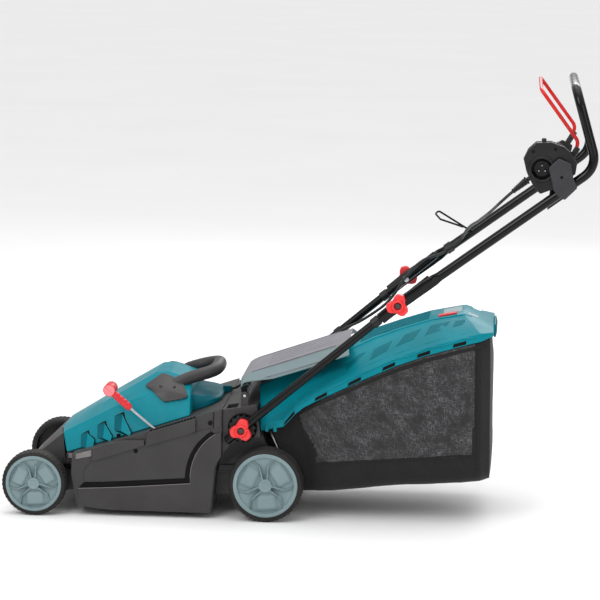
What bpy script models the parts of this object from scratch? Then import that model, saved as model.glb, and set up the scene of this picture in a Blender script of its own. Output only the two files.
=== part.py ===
"""Corded electric rotary lawn mower with a rear grass catcher and a two-piece folding handle.

Metres, +Z up. Sizes are given from the front wheels' centre line (x = 0) and the mid-plane (y = 0),
with the front of the mower at -X and the operator behind it at +X, so the operator's left is -Y.
The last step moves the whole mower so that the origin is the middle of its footprint on the ground.
"""
import bpy
import bmesh
from math import atan2, ceil, cos, hypot, pi, radians, sin
from mathutils import Matrix, Vector

# ---- driving dimensions ------------------------------------------------------------------------
GAP = 0.0003                        # between pieces that touch
RUNNING = 0.0006                    # round a shaft or pin that turns

WHEELBASE = 0.500
FRONT_RADIUS = 0.070
REAR_RADIUS = 0.080
FRONT_WIDTH = 0.042
REAR_WIDTH = 0.045
TRACK_OUTER = 0.200                 # mid-plane to a wheel's outer face
RIM_SHARE = 0.865                   # hub radius over tyre radius

AXLE_ROD = 0.005                    # radius of the bent axle rods
CRANK = 0.040                       # wheel centre to the axle's own pivot
CRANK_ANGLE = radians(25)
CRANK_Y = 0.149                     # plane of the crank arms
LINK_ARM = 0.050
LINK_TILT = radians(65)

DECK_HALF = 0.180                   # half width of the cutting deck
NOSE_HALF = 0.139                   # half width between the wheels
SHOULDER_HALF = 0.172               # half width where the handle is bolted on
DECK_WALL = 0.004
DECK_CEILING = 0.092                # top face of the plate over the blade
LEDGE_FRONT = (0.062, 0.127)        # the deck's sloping top edge
LEDGE_SLOPE = 0.3345
LEDGE_TOP = 0.250

BLADE_CENTRE = 0.235
BLADE_RADIUS = 0.165
BLADE_Z = 0.034
BLADE_THICKNESS = 0.003
SHAFT_RADIUS = 0.006
MOTOR_RADIUS = 0.062
MOTOR_TOP = 0.190

LOW_PIVOT = (0.448, 0.200)          # handle bolts on the deck (x, z)
MID_PIVOT = (0.777, 0.478)          # bolts between the two handle tubes
LOWER_TUBE = 0.009                  # tube radii
UPPER_TUBE = 0.010
LOWER_TUBE_Y = 0.184
UPPER_TUBE_Y = 0.198
UPPER_CORNER = (1.185, 0.777)       # where the upper tube turns up to the grip
GRIP_TOP = (1.139, 0.944)
BOLT_RADIUS = 0.003
BOLT_HEAD = 0.0035
POCKET_FACE = 0.1655                # inner face of the deck wall behind each handle bolt
KNOB_RADIUS = 0.026

FLAP_PIVOT = (0.451, 0.268)
FLAP_HALF = 0.150
FLAP_PIN = 0.003

CATCHER_HALF = 0.165
LID_WALL = 0.003
BAG_WALL = 0.003

LEVER_PIVOT = (0.350, 0.145)        # cutting height lever (x, z)
LEVER_Y = -0.166
LEVER_ROD = 0.003

BAIL_PIVOT = (1.118, 0.772)
BAIL_ROD = 0.004
BAIL_Y = 0.178

CABLE = 0.0035
WIRE = 0.0025                       # radius of the catcher's wire frame

# ---- clean start and shared tools ---------------------------------------------------------------
for leftover in list(bpy.data.objects):
    bpy.data.objects.remove(leftover, do_unlink=True)

SCENE = bpy.context.scene.collection
MOWER = bpy.data.objects.new("mower", None)
SCENE.objects.link(MOWER)


def material(name, colour, roughness, metallic=0.0):
    mat = bpy.data.materials.new(name)
    mat.use_nodes = True
    shader = mat.node_tree.nodes["Principled BSDF"]
    shader.inputs["Base Color"].default_value = (*colour, 1.0)
    shader.inputs["Roughness"].default_value = roughness
    shader.inputs["Metallic"].default_value = metallic
    mat.diffuse_color = (*colour, 1.0)
    return mat


DECK_PLASTIC = material("deck_plastic", (0.045, 0.044, 0.045), 0.5)
HOOD_PLASTIC = material("hood_plastic", (0.010, 0.200, 0.250), 0.35)
GREY_PLASTIC = material("grey_plastic", (0.22, 0.26, 0.27), 0.5)
RED_PLASTIC = material("red_plastic", (0.80, 0.03, 0.03), 0.35)
BLACK_PLASTIC = material("black_plastic", (0.025, 0.025, 0.027), 0.45)
RUBBER = material("tyre_rubber", (0.030, 0.028, 0.029), 0.7)
BLACK_PAINT = material("black_paint", (0.010, 0.010, 0.010), 0.2)
RED_PAINT = material("red_paint", (0.70, 0.01, 0.01), 0.3)
STEEL = material("steel", (0.55, 0.55, 0.56), 0.3, 1.0)
BLADE_STEEL = material("blade_steel", (0.10, 0.10, 0.11), 0.4, 1.0)
ALUMINIUM = material("motor_metal", (0.45, 0.45, 0.46), 0.45, 1.0)
BAG_FABRIC = material("bag_fabric", (0.035, 0.035, 0.035), 0.9)
CABLE_RUBBER = material("cable_rubber", (0.015, 0.015, 0.015), 0.6)
GREY_DARK = material("cover_plastic", (0.085, 0.085, 0.090), 0.55)


def body_of(name, x=0.0, y=0.0, z=0.0, parent=None):
    """An empty on a moving body's joint axis; the body's pieces hang from it."""
    empty = bpy.data.objects.new("body_" + name, None)
    empty["pivot"] = (x, y, z)
    holder = parent or MOWER
    px, py, pz = holder["pivot"] if "pivot" in holder else (0.0, 0.0, 0.0)
    empty.location = (x - px, y - py, z - pz)
    empty.parent = holder
    SCENE.objects.link(empty)
    return empty


def place(name, bm, mat, body=None, sharp=35):
    """Turn a bmesh into a named piece of the mower, shaded smooth up to the sharp angle."""
    bmesh.ops.remove_doubles(bm, verts=bm.verts, dist=1e-6)
    bmesh.ops.recalc_face_normals(bm, faces=bm.faces)
    mesh = bpy.data.meshes.new(name)
    bm.to_mesh(mesh)
    bm.free()
    piece = bpy.data.objects.new(name, mesh)
    SCENE.objects.link(piece)
    mesh.materials.append(mat)
    mesh.shade_smooth()
    mesh.set_sharp_from_angle(angle=radians(sharp))
    holder = body or MOWER
    piece.parent = holder
    if "pivot" in holder:
        piece.location = -Vector(holder["pivot"])
    return piece


def boolean(piece, operation, *tools):
    """Cut tools from a piece, or join them to it, and drop the tools."""
    for tool in tools:
        tool.parent = piece.parent
        tool.location = piece.location
        change = piece.modifiers.new(operation, "BOOLEAN")
        change.operation = operation
        change.object = tool
    bpy.context.view_layer.update()
    evaluated = piece.evaluated_get(bpy.context.evaluated_depsgraph_get())
    finished = bpy.data.meshes.new_from_object(evaluated)
    piece.modifiers.clear()
    piece.data = finished
    for tool in tools:
        bpy.data.objects.remove(tool, do_unlink=True)
    return piece


def ring_faces(bm, rings, closed=False):
    """Skin between rings of the same number of corners; cap the two ends unless it closes on itself."""
    loops = [[bm.verts.new(point) for point in ring] for ring in rings]
    pairs = list(zip(loops, loops[1:])) + ([(loops[-1], loops[0])] if closed else [])
    for low, high in pairs:
        for k in range(len(low)):
            n = (k + 1) % len(low)
            bm.faces.new((low[k], low[n], high[n], high[k]))
    if not closed:
        bm.faces.new(loops[0])
        bm.faces.new(loops[-1])


def loft(name, rings, mat, body=None, sharp=35):
    bm = bmesh.new()
    ring_faces(bm, rings)
    return place(name, bm, mat, body, sharp)


def prism(name, outline, low_y, high_y, mat, body=None, sharp=35):
    """A side outline of (x, z) corners, extruded across the mower."""
    rings = [[(x, y, z) for x, z in outline] for y in (low_y, high_y)]
    return loft(name, rings, mat, body, sharp)


def turned(name, profile, centre, axis, sides, mat, body=None, sharp=35):
    """A closed (radius, height) outline turned about an axis through the centre."""
    turn = Vector((0, 0, 1)).rotation_difference(Vector(axis)).to_matrix()
    centre = Vector(centre)
    rings = []
    for k in range(sides):
        angle = 2 * pi * k / sides
        ring = [centre + turn @ Vector((r * cos(angle), r * sin(angle), h)) for r, h in profile]
        rings.append(ring)
    bm = bmesh.new()
    ring_faces(bm, rings, closed=True)
    return place(name, bm, mat, body, sharp)


def rod(name, start, end, radius, mat, body=None, sides=12):
    """A straight solid rod."""
    return swept(name, [start, end], radius, mat, body, sides)


def frames(path, closed=False):
    """Tangent and two normals at each point of a path, carried along without twist."""
    points = [Vector(p) for p in path]
    count = len(points)
    side = None
    found = []
    for k, point in enumerate(points):
        before = points[k - 1] if (k or closed) else point
        after = points[(k + 1) % count] if (k + 1 < count or closed) else point
        tangent = (after - before).normalized()
        if side is None:
            side = Vector((0, 1, 0)) if abs(tangent.y) < 0.9 else Vector((1, 0, 0))
        side = (side - tangent * side.dot(tangent)).normalized()
        found.append((point, side.copy(), tangent.cross(side)))
    return found


def swept(name, path, radius, mat, body=None, sides=10, wall=None, closed=False, sharp=50):
    """A tube along a path. A radius is one number, or one (across, up) pair for each point."""
    radii = [(radius, radius)] * len(path) if isinstance(radius, (int, float)) else radius

    def rings_at(inset):
        rings = []
        for (point, side, up), (a, b) in zip(frames(path, closed), radii):
            ring = []
            for k in range(sides):
                angle = 2 * pi * k / sides
                ring.append(point + side * (a - inset) * cos(angle) + up * (b - inset) * sin(angle))
            rings.append(ring)
        return rings

    bm = bmesh.new()
    if wall is None:
        ring_faces(bm, rings_at(0.0), closed)
    else:
        ring_faces(bm, rings_at(0.0) + rings_at(wall)[::-1], closed=True)
    return place(name, bm, mat, body, sharp)


def rounded(corners, radius, steps=4):
    """A path through corners, each inner corner turned on an arc."""
    points = [Vector(c) for c in corners]
    path = [points[0]]
    for before, corner, after in zip(points, points[1:], points[2:]):
        way_in = (before - corner).normalized()
        way_out = (after - corner).normalized()
        half = way_in.angle(way_out) / 2
        reach = min(radius / max(0.05, abs(sin(half) / cos(half))),
                    0.45 * (before - corner).length, 0.45 * (after - corner).length)
        start, end = corner + way_in * reach, corner + way_out * reach
        for k in range(steps + 1):
            t = k / steps
            path.append(start * (1 - t) ** 2 + corner * 2 * t * (1 - t) + end * t ** 2)
    path.append(points[-1])
    return path


def smooth_path(points, spacing):
    """Points a set distance apart on a smooth curve through hand-placed points."""
    pts = [Vector(p) for p in points]
    pts = [pts[0] * 2 - pts[1]] + pts + [pts[-1] * 2 - pts[-2]]
    fine = []
    for a, b, c, d in zip(pts, pts[1:], pts[2:], pts[3:]):
        before, here, after = (b - a).length, (c - b).length, (d - c).length
        leave = ((b - a) * (here / before) + (c - b) * (before / here)) * (here / (before + here))
        arrive = ((c - b) * (after / here) + (d - c) * (here / after)) * (here / (here + after))
        steps = max(2, ceil(here / spacing * 4))
        for k in range(steps):
            t = k / steps
            fine.append(b * (2 * t ** 3 - 3 * t ** 2 + 1) + leave * (t ** 3 - 2 * t ** 2 + t)
                        + c * (3 * t ** 2 - 2 * t ** 3) + arrive * (t ** 3 - t ** 2))
    fine.append(pts[-2])
    total = sum((q - p).length for p, q in zip(fine, fine[1:]))
    count = max(2, round(total / spacing))
    path, travelled, target = [fine[0]], 0.0, total / count
    for p, q in zip(fine, fine[1:]):
        step = (q - p).length
        while step > 0 and travelled + step >= target - 1e-9 and len(path) < count:
            path.append(p + (q - p) * ((target - travelled) / step))
            target += total / count
        travelled += step
    return path + [fine[-1]]


def cable(name, points, body):
    """A round cable as a bevelled curve."""
    curve = bpy.data.curves.new(name, "CURVE")
    curve.dimensions = "3D"
    curve.bevel_depth = CABLE
    curve.bevel_resolution = 2
    curve.use_fill_caps = True
    curve.materials.append(CABLE_RUBBER)
    spline = curve.splines.new("POLY")
    path = smooth_path(points, CABLE * 4)
    spline.points.add(len(path) - 1)
    for slot, point in zip(spline.points, path):
        slot.co = (*point, 1.0)
    piece = bpy.data.objects.new(name, curve)
    piece.parent = body or MOWER
    if body:
        piece.location = -Vector(body["pivot"])
    SCENE.objects.link(piece)
    return piece


def arc(centre, radius, start, end, steps):
    """(x, z) points on an arc, angles in degrees from +X towards +Z."""
    for k in range(steps + 1):
        angle = radians(start + (end - start) * k / steps)
        yield (centre[0] + radius * cos(angle), centre[1] + radius * sin(angle))


def along(start, angle, distance):
    """The (x, z) point a distance away from another at an angle from +X towards +Z."""
    return (start[0] + distance * cos(angle), start[1] + distance * sin(angle))


def ledge(x):
    """Height of the deck's sloping top edge."""
    return min(LEDGE_TOP, LEDGE_FRONT[1] + LEDGE_SLOPE * (x - LEDGE_FRONT[0]))


def catcher_front(z):
    """The deck's back edge, where the front of the catcher rests."""
    return 0.4855 - (z - 0.190) * 0.12


# ---- bodies ---------------------------------------------------------------------------------------
FRONT_WHEEL = (0.0, FRONT_RADIUS)
REAR_WHEEL = (WHEELBASE, REAR_RADIUS)
FRONT_SHAFT = along(FRONT_WHEEL, -CRANK_ANGLE, CRANK)
REAR_SHAFT = along(REAR_WHEEL, -CRANK_ANGLE, CRANK)
FRONT_LINK_PIN = along(FRONT_SHAFT, LINK_TILT, LINK_ARM)
REAR_LINK_PIN = along(REAR_SHAFT, LINK_TILT, LINK_ARM)
LOWER_ANGLE = atan2(MID_PIVOT[1] - LOW_PIVOT[1], MID_PIVOT[0] - LOW_PIVOT[0])
UPPER_ANGLE = atan2(UPPER_CORNER[1] - MID_PIVOT[1], UPPER_CORNER[0] - MID_PIVOT[0])

FRONT_AXLE_BODY = body_of("front_axle", FRONT_SHAFT[0], 0, FRONT_SHAFT[1])
REAR_AXLE_BODY = body_of("rear_axle", REAR_SHAFT[0], 0, REAR_SHAFT[1])
LINK_BODY = body_of("link", FRONT_LINK_PIN[0], 0, FRONT_LINK_PIN[1], FRONT_AXLE_BODY)
LEVER_BODY = body_of("height_lever", LEVER_PIVOT[0], 0, LEVER_PIVOT[1])
CUTTER_BODY = body_of("cutter", BLADE_CENTRE, 0, BLADE_Z)
FLAP_BODY = body_of("flap", FLAP_PIVOT[0], 0, FLAP_PIVOT[1])
CATCHER_BODY = body_of("catcher", 0.480, 0, 0.270)
LOWER_BODY = body_of("lower_handle", LOW_PIVOT[0], 0, LOW_PIVOT[1])
UPPER_BODY = body_of("upper_handle", MID_PIVOT[0], 0, MID_PIVOT[1], LOWER_BODY)
BAIL_BODY = body_of("bail", BAIL_PIVOT[0], 0, BAIL_PIVOT[1], UPPER_BODY)
SIDES = (("left", -1), ("right", 1))


# ---- deck and hood ------------------------------------------------------------------------------
def make_deck():
    arch_gap = 0.032
    arch = list(arc(REAR_WHEEL, REAR_RADIUS + arch_gap, 163.4, 118, 6))
    side = [(0.090, 0.020), (0.140, 0.0145), (0.185, 0.0125), (0.383, 0.0125),
            arch[0], arch[1], arch[2], (arch[2][0], ledge(arch[2][0])),
            (0.080, ledge(0.080)), (0.078, 0.090)]
    deck = prism("deck_shell", side, -DECK_HALF, DECK_HALF, DECK_PLASTIC)
    nose = prism("nose", [(-0.030, 0.045), (0.095, 0.045), (0.095, ledge(0.095)), (0.062, 0.1268),
                          (0.062, 0.090), (-0.030, 0.090)], -NOSE_HALF, NOSE_HALF, DECK_PLASTIC)
    shoulder = prism("shoulder", [arch[1], arch[2], arch[3], arch[4], arch[5], arch[6],
                                  (catcher_front(arch[6][1]), arch[6][1]), (catcher_front(LEDGE_TOP),
                                      LEDGE_TOP),
                                  (0.385, ledge(0.385))],
                     -SHOULDER_HALF, SHOULDER_HALF, DECK_PLASTIC)
    chute_block = prism("chute_block", [(0.340, 0.085), (0.520, 0.100), (0.484, 0.190),
                                        (0.476, 0.249), (0.340, 0.200)],
                        -NOSE_HALF, NOSE_HALF, DECK_PLASTIC)
    cheeks = [prism("cheek", [(0.380, 0.045), (REAR_SHAFT[0] + 0.010, 0.048),
                              (REAR_SHAFT[0] + 0.010, 0.078), (0.505, 0.110), (0.380, 0.110)],
                    side_y * (NOSE_HALF - 0.007) - 0.0035, side_y * (NOSE_HALF - 0.007) + 0.0035,
                    DECK_PLASTIC) for _, side_y in SIDES]
    lugs = [prism("lug", [(0.443, 0.240), (0.459, 0.240), *arc(FLAP_PIVOT, 0.008, 0, 180, 6)],
                  side_y * 0.1615 - 0.003, side_y * 0.1615 + 0.003, DECK_PLASTIC) for _, side_y in SIDES]
    boolean(deck, "UNION", nose, shoulder, chute_block, *cheeks, *lugs)

    inner = DECK_HALF - DECK_WALL
    chamber = turned("chamber", [(0, -0.010), (BLADE_RADIUS + 0.007, -0.010),
                                 (BLADE_RADIUS + 0.007, DECK_CEILING - DECK_WALL),
                                 (0, DECK_CEILING - DECK_WALL)],
                     (BLADE_CENTRE, 0, 0), (0, 0, 1), 32, DECK_PLASTIC)
    chute_half = 0.112
    chute = prism("chute", [(0.300, -0.010), (0.376, -0.010), (0.376, 0.060), (0.540, 0.112),
                            (0.540, 0.175), (0.520, 0.232), (0.440, 0.226), (0.3555, 0.120),
                            (0.341, DECK_CEILING - DECK_WALL), (0.300, DECK_CEILING - DECK_WALL)],
                  -chute_half, chute_half, DECK_PLASTIC)
    cavity_rear = 0.335
    lever_room = prism("lever_room", [(0.320, 0.0965), (0.3850, 0.0965), (0.3850, 0.2150), (0.320, 0.2050)],
                       -inner, -0.1430, DECK_PLASTIC)
    pockets = [prism("pocket", [(0.412, 0.187), (0.490, 0.187), (0.490, 0.243), (0.412, 0.243)],
                     *sorted((s * 0.1165, s * POCKET_FACE)), DECK_PLASTIC) for _, s in SIDES]
    cavity = prism("cavity", [(0.100, DECK_CEILING), (cavity_rear, DECK_CEILING),
                              (cavity_rear, ledge(cavity_rear) - DECK_WALL),
                              (0.100, ledge(0.100) - DECK_WALL)],
                   -inner, inner, DECK_PLASTIC)
    hood_hole = prism("hood_hole", [(0.100, DECK_CEILING + 0.01), (cavity_rear - 0.012, DECK_CEILING + 0.01),
                                    (cavity_rear - 0.012, 0.300), (0.100, 0.300)],
                      -0.141, 0.141, DECK_PLASTIC)
    lever_slot = prism("lever_slot", [(0.250, 0.150), (0.356, 0.150), (0.356, 0.260), (0.250, 0.260)],
                       LEVER_Y - 0.0042, LEVER_Y + 0.0042, DECK_PLASTIC)
    link_way = prism("link_way", [(0.040, 0.0910), (0.110, 0.0915), (0.110, 0.113), (0.040, 0.112)],
                     -CRANK_Y - 0.006, -0.1415, DECK_PLASTIC)
    link_way_rear = prism("link_way_rear", [(0.320, 0.0935), (0.420, 0.0950), (0.420, 0.118), (0.320, 0.116)],
                          -CRANK_Y - 0.006, -0.1415, DECK_PLASTIC)
    boolean(deck, "DIFFERENCE", chamber, chute)
    boolean(deck, "DIFFERENCE", cavity, hood_hole)
    boolean(deck, "DIFFERENCE", lever_room, *pockets)
    boolean(deck, "DIFFERENCE", lever_slot, link_way, link_way_rear)
    holes = [rod("shaft_hole", (x, -0.3, z), (x, 0.3, z), AXLE_ROD + RUNNING, STEEL)
             for x, z in (FRONT_SHAFT, REAR_SHAFT)]
    holes.append(rod("motor_hole", (BLADE_CENTRE, 0, 0.05), (BLADE_CENTRE, 0, 0.15), 0.016, STEEL))
    holes.append(rod("pin_hole", (FLAP_PIVOT[0], -0.3, FLAP_PIVOT[1]),
                     (FLAP_PIVOT[0], 0.3, FLAP_PIVOT[1]), FLAP_PIN + RUNNING, STEEL))
    for _, s in SIDES:
        holes.append(rod("bolt_hole", (LOW_PIVOT[0], s * 0.148, LOW_PIVOT[1]),
                         (LOW_PIVOT[0], s * 0.3, LOW_PIVOT[1]), BOLT_RADIUS + GAP, STEEL))
    boolean(deck, "DIFFERENCE", *holes)
    lever_pin = rod("lever_pin", (LEVER_PIVOT[0], -inner - 0.002, LEVER_PIVOT[1]),
                    (LEVER_PIVOT[0], LEVER_Y + 0.006, LEVER_PIVOT[1]), 0.004, DECK_PLASTIC)
    return boolean(deck, "UNION", lever_pin)


HOOD_STATIONS = [(0.0624, 0.040, 0.140, 0.168, 0.115, 0.168, 0.060),
                 (0.165, 0.160, 0.148, 0.226, 0.118, 0.243, 0.060),
                 (0.250, 0.248, 0.150, 0.262, 0.122, 0.296, 0.060),
                 (0.276, 0.276, 0.150, 0.266, 0.122, 0.298, 0.060),
                 (0.332, 0.326, 0.148, 0.258, 0.118, 0.282, 0.060)]


def hood_ring(x_base, x_top, base, half, crease, crease_half, top, top_half):
    """One cross-section of the hood: foot, crease and top corner on each side."""
    x_mid = (x_base + x_top) / 2
    right = [(x_base, half, base), (x_mid, crease_half, crease), (x_top, top_half, top)]
    return right + [(x, -y, z) for x, y, z in reversed(right)]


def hood_rings(inset):
    rings, steps = [], 4
    stations = [[a + (b - a) * k / steps for a, b in zip(low, high)]
                for low, high in zip(HOOD_STATIONS, HOOD_STATIONS[1:]) for k in range(steps)]
    for x_base, x_top, half, crease, crease_half, top, top_half in stations + [HOOD_STATIONS[-1]]:
        rings.append(hood_ring(x_base, x_top, ledge(x_base) + GAP - (0.02 if inset else 0), half - inset,
                               crease - inset, crease_half - inset, top - inset, top_half - inset / 2))
    return rings


def make_hood():
    wall = 0.003
    hood = loft("motor_hood", hood_rings(0.0), HOOD_PLASTIC)
    plan = [(0.325, 0.098), (0.375, 0.098), (0.392, 0.088), (0.402, 0.064)]
    plan += [(x, -y) for x, y in reversed(plan)]
    tail = loft("tail", [[(x, y, ledge(x) + 0.001) for x, y in plan], [(x, y, 0.252) for x, y in plan]],
                HOOD_PLASTIC)
    boss = prism("boss", [(0.384, ledge(0.384) + 0.002), (0.4035, ledge(0.4035) + 0.001), (0.4035, 0.2525),
                          (0.384, 0.2525)], 0.023, 0.037, HOOD_PLASTIC)
    boolean(hood, "UNION", tail, boss)
    hollow_rings = hood_rings(wall)
    hollow_rings[0] = [(x + wall, y, z) for x, y, z in hollow_rings[0]]
    hollow_rings[-1] = [(x - wall, y, z) for x, y, z in hollow_rings[-1]]
    hollow = loft("hollow", hollow_rings, HOOD_PLASTIC)
    gland = rod("gland", (0.383, 0.030, 0.2458), (0.42, 0.030, 0.2458), CABLE + 0.0012, HOOD_PLASTIC,
                sides=12)
    return boolean(hood, "DIFFERENCE", hollow, gland)


def make_nose():
    front = [(-0.030, 0.108, 0.0903), (-0.030, 0.095, 0.097), (-0.028, 0.050, 0.100)]
    rear = [(0.0615, 0.138, 0.0903), (0.0510, 0.112, 0.166), (0.0395, 0.058, 0.166)]
    rings = [half + [(x, -y, z) for x, y, z in reversed(half)] for half in (front, rear)]
    return loft("nose_panel", rings, DECK_PLASTIC)


def hood_height(x, y):
    """Height of the hood's skin between its creases."""
    for low, high in zip(HOOD_STATIONS, HOOD_STATIONS[1:]):
        if x <= high[1]:
            break
    t = (x - low[1]) / (high[1] - low[1])
    crease, crease_half, top, top_half = (a + t * (b - a) for a, b in zip(low[3:], high[3:]))
    fall = max(0.0, (abs(y) - top_half) / (crease_half - top_half))
    return top - fall * (top - crease)


def make_carry_handle():
    """Two plates screwed to the hood's shoulders, and a grip looped between them."""
    thick = 0.011
    left = [(0.283, 0.0830, 0.2925, 0.005), (0.298, 0.0750, 0.2985, 0.009), (0.322, 0.0700, 0.3030, thick),
            (0.350, 0.0680, 0.3045, thick), (0.368, 0.0590, 0.3045, thick), (0.3760, 0.0420, 0.3060, thick),
            (0.3780, 0.0200, 0.3070, 0.012)]
    path = [(x, -y, z) for x, y, z, _ in left] + [(x, y, z) for x, y, z, _ in reversed(left)]
    radii = [(r, r * 1.1) for *_, r in left + left[::-1]]
    handle = swept("carry_handle", path, radii, DECK_PLASTIC, sides=10)
    kite = [(0.2380, 0.0890, 0.0930), (0.2600, 0.0700, 0.1080), (0.2760, 0.0670, 0.1120),
            (0.2900, 0.0670, 0.1120), (0.3250, 0.0860, 0.0960)]
    plates = []
    for _, s in SIDES:
        rings = [[(x, s * y, hood_height(x, y) + lift) for y, lift in
                  ((y_in, 0.0027), (y_out, 0.0027), (y_out, 0.0064), (y_in, 0.0064))] for x, y_in,
                  y_out in kite]
        plates.append(loft("plate", rings, DECK_PLASTIC))
    return boolean(handle, "UNION", *plates)


# ---- motor, blade -----------------------------------------------------------------------------
def make_motor():
    x, foot = BLADE_CENTRE, DECK_CEILING + GAP
    bore = SHAFT_RADIUS + RUNNING
    inner = MOTOR_RADIUS - 0.004
    turned("motor_can", [(bore + 0.002, foot), (MOTOR_RADIUS + 0.012, foot),
                         (MOTOR_RADIUS + 0.012, foot + 0.004),
                         (MOTOR_RADIUS, foot + 0.004), (MOTOR_RADIUS, MOTOR_TOP), (inner, MOTOR_TOP),
                         (inner, foot + 0.006), (bore, foot + 0.006), (bore, foot)],
           (x, 0, 0), (0, 0, 1), 24, ALUMINIUM)
    cap = MOTOR_TOP + GAP
    turned("motor_end_bell", [(bore, cap), (MOTOR_RADIUS, cap), (MOTOR_RADIUS, cap + 0.005),
                              (0.020, cap + 0.010), (bore, cap + 0.010)], (x, 0, 0), (0, 0, 1), 24, ALUMINIUM)
    low, high = BLADE_Z + BLADE_THICKNESS + GAP, MOTOR_TOP + 0.034
    turned("motor_shaft", [(0, low), (SHAFT_RADIUS, low), (SHAFT_RADIUS, high), (0, high)],
           (x, 0, 0), (0, 0, 1), 16, STEEL, CUTTER_BODY)
    turned("armature", [(SHAFT_RADIUS + GAP, foot + 0.020), (0.044, foot + 0.020), (0.044, MOTOR_TOP - 0.020),
                        (SHAFT_RADIUS + GAP, MOTOR_TOP - 0.020)], (x, 0, 0), (0, 0, 1), 20, STEEL,
                        CUTTER_BODY)
    fan_low = cap + 0.012
    fan = turned("cooling_fan", [(SHAFT_RADIUS + GAP, fan_low), (0.052, fan_low), (0.052, fan_low + 0.003),
                                 (0.012, fan_low + 0.003), (0.012, fan_low + 0.016),
                                 (SHAFT_RADIUS + GAP, fan_low + 0.016)],
                 (x, 0, 0), (0, 0, 1), 20, BLACK_PLASTIC, CUTTER_BODY)
    vanes = []
    for k in range(8):
        vane = prism("vane", [(0.011, fan_low + 0.001), (0.050, fan_low + 0.001), (0.050, fan_low + 0.013),
                              (0.011, fan_low + 0.013)], -0.001, 0.001, BLACK_PLASTIC)
        vane.data.transform(Matrix.Translation((x, 0, 0)) @ Matrix.Rotation(2 * pi * k / 8, 4, "Z"))
        vanes.append(vane)
    boolean(fan, "UNION", *vanes)


def make_blade():
    x = BLADE_CENTRE
    top = BLADE_Z + BLADE_THICKNESS
    hub_low = top + GAP
    turned("blade_hub", [(SHAFT_RADIUS + GAP, hub_low), (0.030, hub_low), (0.030, hub_low + 0.006),
                         (0.014, hub_low + 0.014), (0.014, hub_low + 0.030),
                         (SHAFT_RADIUS + GAP, hub_low + 0.030)],
           (x, 0, 0), (0, 0, 1), 20, BLACK_PLASTIC, CUTTER_BODY)
    half_width, lift = 0.022, 0.012
    rings = []
    for reach, rise in ((-1.0, lift), (-0.72, lift), (-0.62, 0.0), (0.0, 0.0), (0.62, 0.0), (0.72, -1),
                        (1.0, -1)):
        y = reach * BLADE_RADIUS
        front_up = lift if rise < 0 else 0.0
        back_up = rise if rise > 0 else 0.0
        rings.append([(x - half_width, y, BLADE_Z + front_up), (x + half_width, y, BLADE_Z + back_up),
                      (x + half_width, y, top + back_up), (x - half_width, y, top + front_up)])
    blade = loft("blade", rings, BLADE_STEEL, CUTTER_BODY)
    hole = rod("blade_hole", (x, 0, BLADE_Z - 0.01), (x, 0, top + 0.01), 0.0043, STEEL)
    boolean(blade, "DIFFERENCE", hole)
    low, head = BLADE_Z - GAP, 0.006
    turned("blade_bolt", [(0, low - head), (0.009, low - head), (0.009, low), (0.004, low), (0.004, top),
                          (0, top)], (x, 0, 0), (0, 0, 1), 6, STEEL, CUTTER_BODY, sharp=20)


# ---- wheels and height adjustment ---------------------------------------------------------------
def make_axle(name, wheel, shaft, pin, body):
    stub = TRACK_OUTER - 0.010
    corners = [(wheel[0], -stub, wheel[1]), (wheel[0], -CRANK_Y, wheel[1]), (shaft[0], -CRANK_Y, shaft[1]),
               (shaft[0], CRANK_Y, shaft[1]), (wheel[0], CRANK_Y, wheel[1]), (wheel[0], stub, wheel[1])]
    axle = swept(name, rounded(corners, 0.006, 2), AXLE_ROD, STEEL, body, sides=12)
    if pin is None:
        return axle
    lean = atan2(pin[1] - shaft[1], pin[0] - shaft[0])
    arm = prism("arm", [*arc(pin, 0.007, degrees_of(lean) - 90, degrees_of(lean) + 90, 5),
                        *arc(shaft, 0.006, degrees_of(lean) + 90, degrees_of(lean) + 270, 5)],
                -CRANK_Y - 0.0025, -CRANK_Y + 0.002, STEEL)
    peg = rod("peg", (pin[0], -CRANK_Y, pin[1]), (pin[0], -0.1412, pin[1]), 0.0025, STEEL, sides=10)
    return boolean(axle, "UNION", arm, peg)


def degrees_of(angle):
    return angle * 180 / pi


def make_link():
    """The flat bar that turns both axles together; it hangs on a peg at each end."""
    lean = degrees_of(atan2(REAR_LINK_PIN[1] - FRONT_LINK_PIN[1], REAR_LINK_PIN[0] - FRONT_LINK_PIN[0]))
    outline = [*arc(REAR_LINK_PIN, 0.006, lean - 90, lean + 90, 5),
               *arc(FRONT_LINK_PIN, 0.006, lean + 90, lean + 270, 5)]
    link = prism("link_rod", outline, -0.1462, -0.1422, STEEL, LINK_BODY)
    holes = [rod("hole", (x, -0.2, z), (x, 0, z), 0.0025 + RUNNING, STEEL, sides=10)
             for x, z in (FRONT_LINK_PIN, REAR_LINK_PIN)]
    boolean(link, "DIFFERENCE", *holes)


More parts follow.
